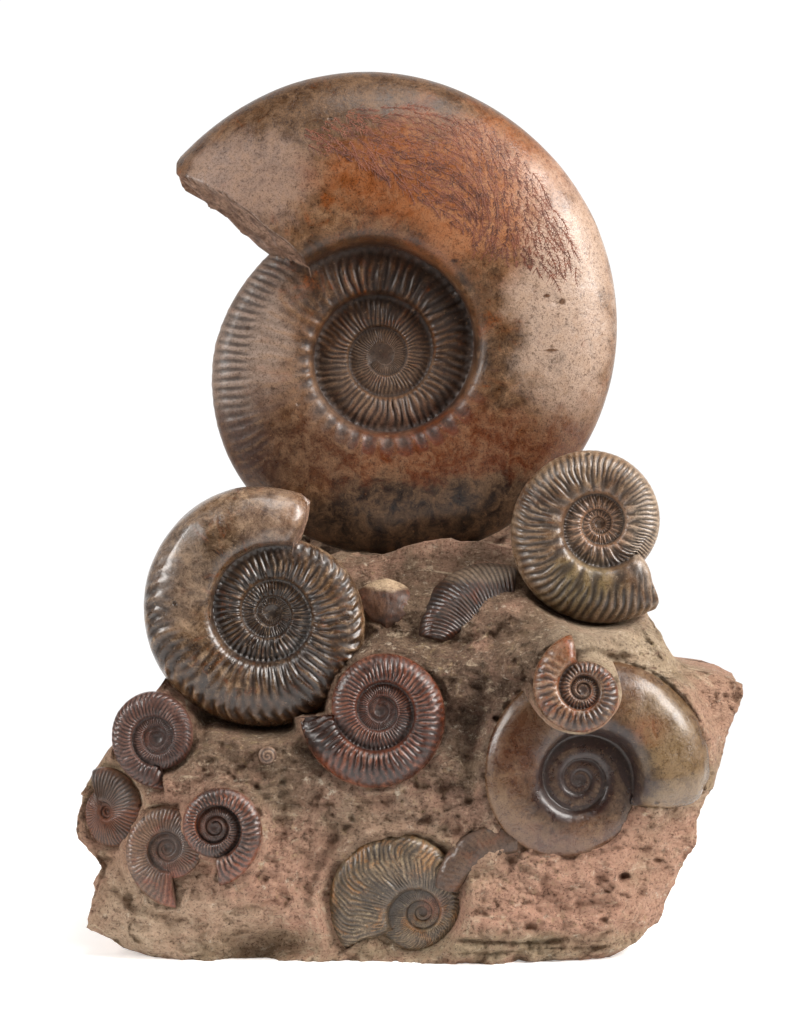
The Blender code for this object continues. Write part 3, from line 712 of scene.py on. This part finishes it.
def on_plane(coil, x, z):
    """For points seen from the front: how far outside a shell's rim they are, and where its plane stands."""
    axes = Euler((coil.pitch, 0.0, coil.yaw)).to_matrix()
    first, second = axes.col[0], axes.col[2]
    dx, dz = x - coil.centre.x, z - coil.centre.z
    scale = first.x * second.z - first.z * second.x
    a = (dx * second.z - dz * second.x) / scale
    b = (dz * first.x - dx * first.z) / scale
    turns = np.mod((np.arctan2(b, a) - coil.mouth) * coil.turn / math.tau, 1.0)
    return np.hypot(a, b) - coil.rim(turns), coil.centre.y + a * first.y + b * second.y


def seated_front(x, z, y):
    """Bring the rock's front to the shells that lie in it."""
    for name, (margin, behind) in SEATS.items():
        away, plane = on_plane(COILS[name], x, z)
        weight = 1 - ramp(away, 0.0, margin * MM)
        deeper = (1 - ramp(away, -0.006, 0.0)) * 0.005 + np.exp(-((away - 0.001) / 0.0016) ** 2) * 0.0016
        target = plane + behind * MM + deeper
        if name in ONLY_BACK:
            target = np.maximum(target, y)
        y = y + (target - y) * weight
    return y


def away_from(points, x, z):
    """The distance to a broken line of points, seen from the front."""
    nearest = np.full(x.shape, 9.0)
    for (x0, z0), (x1, z1) in zip(points, points[1:]):
        length = (x1 - x0) ** 2 + (z1 - z0) ** 2
        share = np.clip(((x - x0) * (x1 - x0) + (z - z0) * (z1 - z0)) / length, 0, 1)
        nearest = np.minimum(nearest, np.hypot(x - x0 - share * (x1 - x0), z - z0 - share * (z1 - z0)))
    return nearest


def carved(x, z):
    """How deep the pockets and cracks go into the front."""
    ragged = 0.0012 * fractal(np.stack([x, 0 * x, z], axis=-1), 160.0, 3, 17.0)
    depth = np.zeros(x.shape)
    for pocket_x, pocket_z, radius, deep in np.array(POCKETS) * MM:
        away = np.hypot(x - pocket_x, (z - pocket_z) * 1.3) + ragged
        depth += 1.6 * deep * np.exp(-(away / radius) ** 4)
    for points, half_width, deep in FURROWS:
        away = away_from(np.array(points) * MM, x, z) + ragged
        depth += 1.3 * deep * MM * np.exp(-(away / (half_width * MM)) ** 2)
    return depth


def held_in(values, knee, room):
    """Values beyond the knee pressed into the room behind it."""
    over = np.maximum(values - knee, 0)
    return np.minimum(values, knee) + room * np.tanh(over / room)


def rock_points(flat):
    """Lay points of a unit cube over the block: across, deep and up."""
    across, deep, up = flat[:, 0], flat[:, 1], flat[:, 2]
    z = up * TOP_HEIGHT
    tables = (LEFT_EDGE, RIGHT_EDGE, FRONT_DEPTH, BACK_DEPTH)
    left, right, depth, back = (line(table, z / MM) * MM for table in tables)
    x = left + (right - left) * across
    for swell_x, swell_height, half_width, half_height, out in np.array(FRONT_SWELLS + FINE_SWELLS) * MM:
        near = ((x - swell_x) / half_width) ** 2 + ((z - swell_height) / half_height) ** 2
        depth = depth + out * np.exp(-near)
    front = -depth
    middle = front + (back - front) * MIDDLE_PLANE
    edge = np.abs(2 * across - 1)
    draw = 1 - (FRONT_DRAW + (BACK_DRAW - FRONT_DRAW) * deep) * edge ** DRAW_POWER
    y = middle + ((front + (back - front) * deep) - middle) * draw
    base = np.stack([x, y, z], axis=-1)
    y = y + ROUGHNESS * fractal(base, ROUGHNESS_DETAIL, 3) * (1 + 2 * deep)
    # chipped, lumpy faces, with a knobbly crust in the middle
    base = np.stack([x, y, z], axis=-1)
    lumps = fractal(base * np.array([0.75, 1.0, 1.35]), 42.0, 5, 3.0)
    chips = np.abs(fractal(base, 90.0, 4, 7.0))
    grains = fractal(base, 330.0, 3, 11.0)
    crust = np.clip(2.4 * fractal(base, 80.0, 5, 21.0), -0.7, 0.7)
    crusty = np.exp(-((x + 0.01) / 0.1) ** 2 - ((z - 0.095) / 0.055) ** 2)
    rough = LUMPS * lumps - CHIPS * chips + GRAINS * grains + CRUST * crusty * crust
    rough = rough + STEPS * np.tanh(9 * fractal(base, 23.0, 4, 41.0))
    rough = rough * (1 - 0.6 * ramp(z, 0.215, 0.24) * (deep < 0.3))
    rough = rough * (1 + 0.6 * deep)
    seated = seated_front(x, z, y)
    calm = np.clip(np.abs(seated - y) / 0.004, 0, 1) * (deep < 0.01)
    y = seated + (y - seated) * np.clip(deep * 4, 0, 1)
    facing = 1 - 2 * deep
    y = y - rough * (1 - 0.5 * calm) * facing * (0.3 + 0.7 * ramp(np.abs(facing), 0.3, 1.0))
    y = y + np.where(deep < 0.01, carved(x, z), 0.0)
    side = np.clip((edge - 0.97) / 0.03, 0, 1) * np.sign(across - 0.5)
    blocks = fractal(base, 26.0, 3, 31.0)
    x = x + side * (0.0035 * blocks + 0.0016 * lumps + 0.0006 * grains - 0.002)
    top = up > 0.999
    rise = TOP_RISE * np.clip(2 * deep - 1, 0, 1) * np.sin(math.pi * np.clip(across, 0, 1)) ** 0.5
    hump = 0.012 * np.exp(-((x - 0.045) / 0.05) ** 2) * np.exp(-((deep - 0.05) / 0.25) ** 2)
    z = z + np.where(top, rise + hump + rough, 0.0)
    x = held_in(x, *RIGHT_REACH)
    x = -held_in(-x, *LEFT_REACH)
    y = held_in(y, *BACK_REACH)
    y = -held_in(-y, *FRONT_REACH)
    return np.stack([x, y, np.maximum(z, 0.0)], axis=-1)


def rock_finish():
    """Matte limestone: pink, purple-brown and pale beige clouds, yellow-green specks and dark crust."""
    material, shader, at = new_finish("limestone")
    broad = clouds(at, 13, 5, 0.6, 0.8)
    middle = clouds(at, 40, 9, 0.72, 0.6)
    small = clouds(at, 135, 8, 0.74, 0.3)
    fine = clouds(at, 520, 5, 0.7)
    lean = {"Vector": at, "Rotation": (0.0, 0.55, 0.0), "Scale": (0.5, 1.0, 1.6)}
    streak = clouds(add(at.id_data, "ShaderNodeMapping", lean).outputs[0], 75.0, 8.0, 0.74, 1.4)
    pale = (199, 179, 153)
    pink = (181, 140, 119)
    colour = blend(between(broad, 0.38, 0.62), tint(152, 130, 105), tint(*pink))
    colour = blend(between(middle, 0.5, 0.66), colour, tint(*pale))
    # patches: the dark beige under the great shell (20, 236) is a painted shadow, the dark at (0, 192) is
    # painted shade round the shelf beneath it, and the dark beside the smooth shell (50, 150) is a painted
    # shadow
    patches = (
        ((108, 87, 70), 0.95, 20, 236, 130, 40),
        (pale, 0.7, 150, 212, 50, 22),
        ((99, 79, 64), 0.9, 0, 192, 110, 35),
        ((154, 126, 108), 0.7, -20, 100, 100, 50),
        ((85, 67, 57), 0.65, 50, 150, 25, 45),
        ((104, 85, 68), 0.85, -110, 135, 50, 40),
        ((164, 140, 114), 0.6, 20, 70, 40, 20),
        (pink, 0.85, 160, 50, 90, 55),
        (pink, 0.8, 215, 165, 30, 30),
        (pink, 0.75, -130, 60, 80, 50),
        (pale, 0.55, -160, 30, 60, 30),
        ((152, 137, 111), 0.7, 60, 12, 120, 10),
    )
    colour = patched(colour, at, patches, between(middle, 0.3, 0.58, 0.45, 1.0))
    crusty = between(spot(at, -20, 105, 110, 55), 0.0, 1.0, 0.06, 0.3)
    colour = blend(times(between(small, 0.52, 0.62), crusty), colour, tint(72, 54, 50))
    colour = blend(between(streak, 0.55, 0.68, 0.0, 0.75), colour, tint(*pale))
    colour = blend(between(streak, 0.45, 0.34, 0.0, 0.7), colour, tint(120, 90, 75))
    chalk = times(between(small, 0.42, 0.34), between(middle, 0.4, 0.6, 0.3, 0.9))
    colour = blend(chalk, colour, tint(208, 195, 174))
    specks = times(between(clouds(at, 210, 4, 0.6), 0.58, 0.66), between(clouds(at, 16, 3), 0.46, 0.6))
    colour = blend(times(specks, 0.4), colour, tint(160, 140, 100))
    colour = blend(between(fine, 0.5, 0.34, 0.0, 0.7), colour, tint(96, 76, 64), "MULTIPLY")
    colour = blend(between(fine, 0.56, 0.7, 0.0, 0.5), colour, tint(*pale))
    height = plus(plus(plus(times(middle, 1.8), times(small, 2.0)), times(streak, 2.4)), times(fine, 0.5))
    finish(shader, colour, between(small, 0.3, 0.7, 0.6, 0.9), height, 0.002)
    shader.inputs["Specular IOR Level"].default_value = 0.3
    return material


def add_rock():
    """The block, from a cube whose front is cut finer than its other faces."""
    deselect()
    bpy.ops.mesh.primitive_cube_add(size=1.0, location=(0.5, 0.5, 0.5), calc_uvs=False)
    made = bpy.context.object
    made.name = "rock_fine"
    bpy.ops.object.transform_apply(location=True, rotation=True, scale=True)
    edit(made, mode="FACE")
    bpy.ops.mesh.subdivide(number_cuts=BLOCK_CUTS)
    bpy.ops.mesh.select_all(action="DESELECT")
    leave()
    mesh = made.data
    for face in mesh.polygons:
        face.select = face.normal.y < -0.9
    bpy.ops.object.mode_set(mode="EDIT")
    bpy.ops.mesh.subdivide(number_cuts=FRONT_CUTS)
    leave()
    flat = np.empty(len(mesh.vertices) * 3)
    mesh.vertices.foreach_get("co", flat)
    laid = rock_points(flat.reshape(-1, 3))
    mesh.vertices.foreach_set("co", laid.reshape(-1))
    pick(made)
    facets = made.modifiers.new("facets", "TRIANGULATE")
    bpy.ops.object.modifier_apply(modifier=facets.name)
    settle(made, Matrix.Translation(CENTRE_SHIFT))
    return made


@dataclass
class Arc:
    """A worn stretch of whorl: an arched band round a centre, whose back lies in the rock.

    Lengths are millimetres and angles degrees, but for the centre.
    """

    centre: tuple
    start: float
    end: float
    outer: tuple
    inner: tuple
    height: float
    ribs: int
    rib_height: float
    sweep: float
    pitch: float = 0.0

    def place(self):
        turned = Euler((math.radians(self.pitch), 0.0, 0.0)).to_matrix().to_4x4()
        return Matrix.Translation(Vector(self.centre) + CENTRE_SHIFT) @ turned


ARC_SECTION = ((0.0, 0.1), (0.06, 0.48), (0.14, 0.76), (0.28, 0.95), (0.45, 1.0), (0.62, 0.92), (0.78, 0.72),
               (0.9, 0.45), (1.0, 0.1))
ARC_END_DROP = 0.34
ARC_DEPTH = 0.008
ARC_COLUMNS = 156
ARC_ROWS = 24
ARCS = {
    "ghost_whorl": Arc((0.0785, -0.089, 0.041), 170, 92, (60, 58.5, 53), (40, 36, 32), 7, 20, 0.2, 0.05),
    "shelf_whorl": Arc((0.0698, -0.058, 0.201), 164, 82, (64, 72, 75, 74), (40, 27, 27, 27), 15, 26, 0.8, 0.08,
                       pitch=-28),
    "shelf_fragment": Arc((-0.0124, -0.046, 0.214), 126, 50, (41, 44, 39), (8, 5, 8), 12, 5, 0.0, 0.0,
                          pitch=-20),
}


def arc_shell(name, arc):
    """A fine stretch of whorl with its ribs across it."""
    share = np.linspace(0, 1, ARC_COLUMNS + 1)[:, None]
    across = np.linspace(0, 1, ARC_ROWS + 1)[None, :]
    angle = np.radians(arc.start + (arc.end - arc.start) * share)
    outer, inner = (np.interp(share, np.linspace(0, 1, len(radii)), radii) * MM
                    for radii in (arc.outer, arc.inner))
    taper = 1 - ARC_END_DROP * (1 - np.sin(math.pi * share))
    crest = 0.5 + 0.5 * np.cos(math.tau * arc.ribs * (share + arc.sweep * across ** 2))
    relief = arc.rib_height * (crest - 0.5) * ramp(across, 0.02, 0.2) * ramp(across, 1.0, 0.8)
    lift = (arc.height * line(ARC_SECTION, across) * taper + relief) * MM
    narrow = 0.25 + 0.75 * np.maximum(np.sin(math.pi * share), 0.0) ** 0.12
    radius = (inner + outer) / 2 + (outer - inner) * (across - 0.5) * narrow
    points = np.stack([radius * np.cos(angle), -lift, radius * np.sin(angle)], axis=-1)
    points[..., 1] += 0.001 * fractal(points, 60.0, 5)
    grooves_and_shade = (1 - crest) * min(1.0, arc.rib_height)
    made = sheet(points, {"grooves_and_shade": grooves_and_shade, "broken": 0 * grooves_and_shade, "turns": 0.2 * share + 0 * across,
                          "share": across + 0 * share})
    made.name = name
    close_back(made, ARC_DEPTH)
    settle(made, arc.place())
    return made


TINY_RADIUS = 0.0062
TINY_PLACE = Vector((-0.091, -0.088, 0.1406))


def tiny_shell():
    """A knob with one coiled furrow."""
    deselect()
    bpy.ops.mesh.primitive_uv_sphere_add(segments=64, ring_count=32, radius=1.0, calc_uvs=False)
    made = bpy.context.object
    made.name = "tiny_fine"
    mesh = made.data
    flat = np.empty(len(mesh.vertices) * 3)
    mesh.vertices.foreach_get("co", flat)
    points = flat.reshape(-1, 3)
    away = np.hypot(points[:, 0], points[:, 1])
    angle = np.arctan2(points[:, 1], points[:, 0])
    furrow = np.cos(math.tau * (2.2 * away + angle / math.tau))
    swell = 1 - 0.1 * (0.5 + 0.5 * furrow) * (points[:, 2] > 0) * ramp(away, 0.02, 0.2)
    points = points * swell[:, None]
    turned = np.stack([points[:, 0], -0.6 * points[:, 2], points[:, 1]], axis=-1) * TINY_RADIUS
    mesh.vertices.foreach_set("co", turned.reshape(-1))
    for name, values in (("grooves_and_shade", 0.5 + 0.5 * furrow), ("broken", 0 * furrow)):
        mesh.attributes.new(name, "FLOAT", "POINT").data.foreach_set("value", values.astype(np.float32))
    settle(made, Matrix.Translation(TINY_PLACE + CENTRE_SHIFT))
    return made


# where the fern-like lines lie on the large shell: turns, and the lowest and highest radius there
FERN_BAND = ((0.075, 0.15, 0.163), (0.11, 0.13, 0.168), (0.15, 0.112, 0.172), (0.2, 0.102, 0.174),
             (0.25, 0.1, 0.165), (0.29, 0.112, 0.155), (0.325, 0.13, 0.148))
# the gap between ferns along the whorl, from row to row, the lowest row and how high they reach
FERN_GAP = 0.0066
FERN_ROWS = 0.0042
FERN_FOOT = 0.101
FERN_HEIGHT = 0.076
FERN_LENGTH = 0.0105
FERN_THICK = 0.00044
MEAN_RADIUS = 0.145


def frond(start, heading, length, thick, chance, strokes):
    """One frond of a fern: its stem, and barbs on both sides that grow shorter towards its tip."""
    steps = 5
    bend = chance.uniform(-0.14, 0.14)
    place = start
    points = [place + (thick,)]
    for step in range(1, steps + 1):
        for side in (-1, 1):
            turned = heading + side * chance.uniform(0.55, 1.05)
            barb = length * 0.5 * (1 - 0.7 * step / steps) * chance.uniform(0.6, 1.3)
            tip = (place[0] + math.cos(turned) * barb, place[1] + math.sin(turned) * barb)
            strokes.append([place + (thick * 0.75,), tip + (thick * 0.35,)])
        place = (place[0] + math.cos(heading) * length / steps, place[1] + math.sin(heading) * length / steps)
        heading += bend
        points.append(place + (thick * (1 - 0.55 * step / steps),))
    strokes.append(points)


def fern_lines(name, coil, ribs, wobble):
    """The shell's suture lines: pressed ferns that lie on its skin."""
    chance = random.Random(7)
    turns, low, high = np.array(FERN_BAND).T
    length = math.tau * MEAN_RADIUS
    strokes = []
    for column in range(int((turns[-1] - turns[0]) * length / FERN_GAP)):
        for row in range(int(FERN_HEIGHT / FERN_ROWS)):
            along = turns[0] * length + (column + 0.5 * (row % 2) + chance.uniform(-0.25, 0.25)) * FERN_GAP
            radius = FERN_FOOT + (row + chance.uniform(-0.3, 0.3)) * FERN_ROWS
            place = along / length
            size = chance.uniform(0.5, 1.5)
            heading = -0.4 + 0.4 * math.sin(55 * along + 40 * radius) + chance.uniform(-0.3, 0.3)
            if np.interp(place, turns, low) < radius < np.interp(place, turns, high):
                frond((along, radius), heading, FERN_LENGTH * size, FERN_THICK, chance, strokes)
    curve = bpy.data.curves.new(name, "CURVE")
    curve.dimensions = "3D"
    curve.bevel_depth = MM
    curve.bevel_resolution = 0
    curve.use_fill_caps = True
    for points in strokes:
        along, radius, thick = np.array(points).T
        at = along / length
        share = (radius - coil.seam_at(at)) / (coil.rim(at) - coil.seam_at(at))
        skin, normal, _ = coil.skin(at, share, coil.floor(at), ribs, wobble)
        laid = skin - normal * 0.00006
        spline = curve.splines.new("POLY")
        spline.points.add(len(points) - 1)
        spline.points.foreach_set("co", np.concatenate([laid, np.ones((len(points), 1))], axis=1).reshape(-1))
        spline.points.foreach_set("radius", thick / MM)
    pick(put(name, curve))
    bpy.ops.object.convert(target="MESH")
    made = bpy.context.object
    settle(made, coil.place())
    return made


def fern_finish():
    """Dark, dull lines with rusty flecks."""
    material, shader, at = new_finish("fern_lines")
    small = clouds(at, 160, 6, 0.7)
    fine = clouds(at, 700, 4, 0.7)
    colour = blend(between(small, 0.38, 0.62), tint(84, 48, 36), tint(122, 72, 52))
    colour = blend(between(fine, 0.55, 0.72, 0.0, 0.6), colour, tint(176, 128, 102))
    finish(shader, colour, between(fine, 0.3, 0.7, 0.38, 0.6), fine, 0.0003)
    return material


def dress(piece, node, material):
    """Put a finished piece in a solid's place."""
    piece.data.materials.clear()
    piece.data.materials.append(material)
    for face in piece.data.polygons:
        face.material_index = 0
    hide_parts(node)
    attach(piece, "root")


FINISHES = {
    "great_ammonite": shell_finish(
        "great_shell", (98, 67, 42), (58, 40, 26), (136, 104, 76), (116, 62, 24), (46, 31, 24),
        gloss=0.36, rust_share=0.47, streaks=0.3, coat=0.12,
        # patches: the pale band on the right flank (115, 440) is a painted highlight; the grey on the left
        # flank (-115, 420) is painted sheen, and near the mouth (-115, 528) it is partly its own grey, partly
        # painted sheen; the lighter lower umbilicus (-20, 388) is painted light; the dark rust at the bottom
        # (20, 336) is partly painted shade, and the near-black under the shell (10, 284) is a painted shadow
        patches=(((62, 42, 24), 1.1, -30, 576, 125, 32), ((142, 122, 112), 0.9, -115, 528, 45, 36),
                 ((132, 68, 26), 0.7, -10, 530, 40, 30), ((140, 80, 42), 0.9, 45, 528, 70, 46),
                 ((160, 106, 74), 0.8, 70, 505, 45, 35), ((186, 164, 148), 0.9, 115, 440, 34, 90),
                 ((152, 134, 122), 0.8, -115, 420, 32, 70), ((84, 40, 14), 1.3, 20, 336, 125, 40),
                 ((24, 13, 11), 1.7, 10, 284, 150, 34), ((56, 38, 30), 0.7, -80, 345, 50, 35),
                 ((128, 104, 84), 0.55, -20, 388, 50, 34), ((70, 42, 30), 1.4, 100.2, 450.9, 2.2, 1.4),
                 ((64, 40, 30), 1.4, 111, 447, 1.8, 1.8), ((70, 44, 32), 1.4, 104, 413, 4, 1.1),
                 ((66, 42, 32), 1.4, 64, 399, 3, 1.5), ((60, 38, 28), 1.4, 36, 475, 2, 1.2))),
    "left_ammonite": shell_finish(
        "left_shell", (96, 72, 50), (54, 38, 25), (160, 134, 108), (108, 58, 26), (32, 21, 15),
        gloss=0.23, coat=0.5, rust_share=0.45, streaks=0.55,
        # patches: the grey at (-155, 262) is a painted highlight on the left flank
        patches=(((113, 93, 83), 0.7, -75, 300, 45, 20), ((112, 100, 92), 0.6, -155, 262, 20, 40),
                 ((110, 72, 44), 0.7, -64, 304, 14, 10), ((67, 43, 24), 0.8, -90, 165, 60, 16))),
    "ribbed_ammonite": shell_finish(
        "ribbed_shell", (120, 97, 75), (84, 61, 44), (160, 141, 120), (114, 73, 40), (44, 33, 25),
        gloss=0.28, rust_share=0.42, streaks=0.5,
        # patches: the pale band on the right side (170, 300) is a painted highlight
        patches=(((118, 104, 71), 0.7, 120, 255, 25, 20), ((156, 118, 92), 0.8, 134, 294, 22, 22),
                 ((177, 160, 142), 0.6, 170, 300, 18, 45))),
    "red_ammonite": shell_finish(
        "red_shell", (102, 58, 42), (62, 36, 27), (138, 92, 72), (108, 54, 32), (34, 19, 14),
        gloss=0.24, rust_share=0.45, streaks=0.4,
        # patches: the near-black at the mouth end (-60, 156.5) is a painted shadow under the left shell
        patches=(((40, 24, 18), 1.3, -60, 156.5, 16, 13),)),
    "smooth_ammonite": shell_finish(
        "smooth_shell", (100, 74, 53), (72, 49, 36), (124, 100, 76), (92, 50, 28), (40, 26, 21),
        gloss=0.28, rust_share=0.4, streaks=0.25,
        # patches: the dark brown in the umbilical funnel (124, 124) is partly its own colour, partly painted
        # shade
        patches=(((74, 38, 21), 0.9, 80, 147, 18, 26), ((120, 50, 35), 0.8, 165, 157, 13, 10),
                 ((112, 94, 66), 0.8, 178, 130, 30, 45), ((86, 58, 48), 0.8, 105, 80, 60, 22),
                 ((44, 24, 18), 1.9, 124, 124, 36, 34))),
    "small_ammonite": shell_finish(
        "small_shell", (120, 87, 65), (79, 55, 39), (157, 132, 108), (124, 65, 34), (43, 27, 20),
        gloss=0.28, streaks=0.4),
    "dark_ammonite": shell_finish(
        "dark_shell", (91, 61, 51), (61, 39, 33), (113, 81, 70), (94, 51, 33), (33, 20, 17),
        gloss=0.38, streaks=0.3),
    "edge_ammonite": shell_finish(
        "edge_shell", (97, 64, 44), (63, 46, 36), (120, 86, 64), (110, 56, 28), (35, 24, 19),
        gloss=0.45, streaks=0.4,
        patches=(((106, 56, 29), 0.8, -208, 96, 18, 14), ((67, 56, 47), 0.8, -196, 114, 20, 12))),
    "buried_ammonite": shell_finish(
        "buried_shell", (110, 83, 64), (78, 58, 47), (139, 110, 90), (118, 65, 45), (44, 31, 25),
        gloss=0.45, streaks=0.5,
        patches=(((120, 68, 52), 0.8, -150, 46, 12, 20), ((57, 41, 33), 0.8, -152, 82, 12, 10))),
    "glossy_ammonite": shell_finish(
        "glossy_shell", (110, 72, 58), (66, 44, 36), (146, 118, 104), (120, 68, 46), (34, 23, 19),
        gloss=0.24, streaks=0.4),
    "sunken_ammonite": shell_finish(
        "sunken_shell", (122, 104, 82), (80, 68, 54), (160, 142, 114), (142, 100, 58),
        (46, 39, 33), gloss=0.4, streaks=0.5,
        # patches: the dark grey in the inner hollow (12, 45) is painted shade
        patches=(((72, 64, 58), 0.8, 12, 45, 24, 18), ((120, 74, 54), 0.8, 20, 36, 10, 10))),
    "ghost_whorl": shell_finish(
        "ghost_shell", (81, 61, 48), (60, 45, 36), (99, 78, 61), (89, 58, 40),
        (50, 37, 28), gloss=0.6),
    "shelf_whorl": shell_finish(
        "shelf_shell", (63, 42, 32), (36, 25, 20), (95, 72, 58), (86, 44, 23), (21, 14, 11),
        gloss=0.34, streaks=0.6,
        patches=(((140, 122, 104), 0.9, 50, 259, 34, 5), ((120, 66, 32), 1.2, 92, 232, 14, 12))),
    "shelf_fragment": shell_finish(
        "fragment_shell", (76, 48, 33), (46, 30, 22), (100, 70, 50), (88, 44, 22),
        (34, 22, 16), gloss=0.55, coat=0.1,
        patches=(((196, 172, 142), 1.5, -12, 253.5, 18, 4.5),)),
    "tiny_ammonite": shell_finish(
        "tiny_shell", (124, 98, 80), (88, 68, 56), (150, 126, 104), (120, 84, 60), (60, 44, 36),
        gloss=0.45),
}

for node, makings in SHELLS.items():
    dress(coil_shell(node + "_fine", COILS[node], *makings), node, FINISHES[node])

for node, arc in ARCS.items():
    dress(arc_shell(node + "_fine", arc), node, FINISHES[node])

ferns = fern_lines("fern_lines", COILS["great_ammonite"], *SHELLS["great_ammonite"][4::2])
ferns.data.materials.append(fern_finish())
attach(ferns, "root")

dress(tiny_shell(), "tiny_ammonite", FINISHES["tiny_ammonite"])
dress(add_rock(), "rock", rock_finish())


# The studio


def add_floor():
    """A pale floor that fades into the white round it."""
    deselect()
    bpy.ops.mesh.primitive_circle_add(vertices=96, radius=2.6, fill_type="NGON")
    floor = bpy.context.object
    floor.name = "floor"
    material, shader, at = new_finish("floor_paper")
    shader.inputs["Base Color"].default_value = (0.93, 0.93, 0.93, 1.0)
    shader.inputs["Roughness"].default_value = 0.9
    shader.inputs["Emission Color"].default_value = (1.0, 1.0, 1.0, 1.0)
    shader.inputs["Emission Strength"].default_value = 0.3
    away = add(at.id_data, "ShaderNodeVectorMath", {0: at}, operation="LENGTH").outputs["Value"]
    at.id_data.links.new(between(away, 0.35, 0.9, 1.0, 0.0), shader.inputs["Alpha"])
    floor.data.materials.append(material)


def add_softbox(name, place, aim, width, height, power, colour):
    light = bpy.data.lights.new(name, "AREA")
    light.shape = "RECTANGLE"
    light.size = width
    light.size_y = height
    light.energy = power
    light.color = colour
    box = put(name, light)
    box.location = place
    box.rotation_euler = (Vector(aim) - Vector(place)).to_track_quat("-Z", "Y").to_euler()
    box.visible_camera = False


def add_world():
    """A bright sweep behind the block, and a dim room round it."""
    world = bpy.data.worlds.new("studio")
    world.use_nodes = True
    bpy.context.scene.world = world
    tree = world.node_tree
    apart = add(tree, "ShaderNodeSeparateXYZ", {0: add(tree, "ShaderNodeTexCoord").outputs["Generated"]})
    level = between(apart.outputs[1], 0.4, 0.9, 0.13, 1.05)
    tree.links.new(level, tree.nodes["Background"].inputs["Strength"])
    behind = between(apart.outputs[1], 0.2, 0.55)
    hue = blend(behind, (1.0, 0.86, 0.74, 1.0), (1.0, 1.0, 1.0, 1.0))
    tree.links.new(hue, tree.nodes["Background"].inputs["Color"])


CAMERA_AIM = 0.2999
CAMERA_ELEVATION = math.radians(3.0)
CAMERA_DISTANCE = 1.9911


def add_camera():
    """A long lens at the height of the shells, looking down a little."""
    camera = bpy.data.cameras.new("camera")
    camera.lens = 100
    camera.sensor_width = 36
    camera.clip_start = 0.05
    holder = put("camera", camera)
    aim = Vector((0.0, 0.0, CAMERA_AIM)) + CENTRE_SHIFT
    back = Vector((0.0, -math.cos(CAMERA_ELEVATION), math.sin(CAMERA_ELEVATION)))
    holder.location = aim + back * CAMERA_DISTANCE
    holder.rotation_euler = (aim - holder.location).to_track_quat("-Z", "Y").to_euler()
    bpy.context.scene.camera = holder


add_floor()
add_softbox("left_box", (-1.45, -0.5, 0.85), (0.0, 0.0, 0.3), 0.35, 1.0, 23.0, (1.0, 0.97, 0.94))
add_softbox("right_box", (1.38, -0.6, 1.15), (0.0, 0.0, 0.32), 0.7, 1.1, 56.0, (1.0, 0.96, 0.92))
add_softbox("top_box", (0.2, -0.5, 1.9), (0.0, 0.0, 0.3), 0.9, 0.7, 14.0, (1.0, 0.97, 0.94))
add_world()
add_camera()
bpy.context.scene.view_settings.view_transform = "Standard"
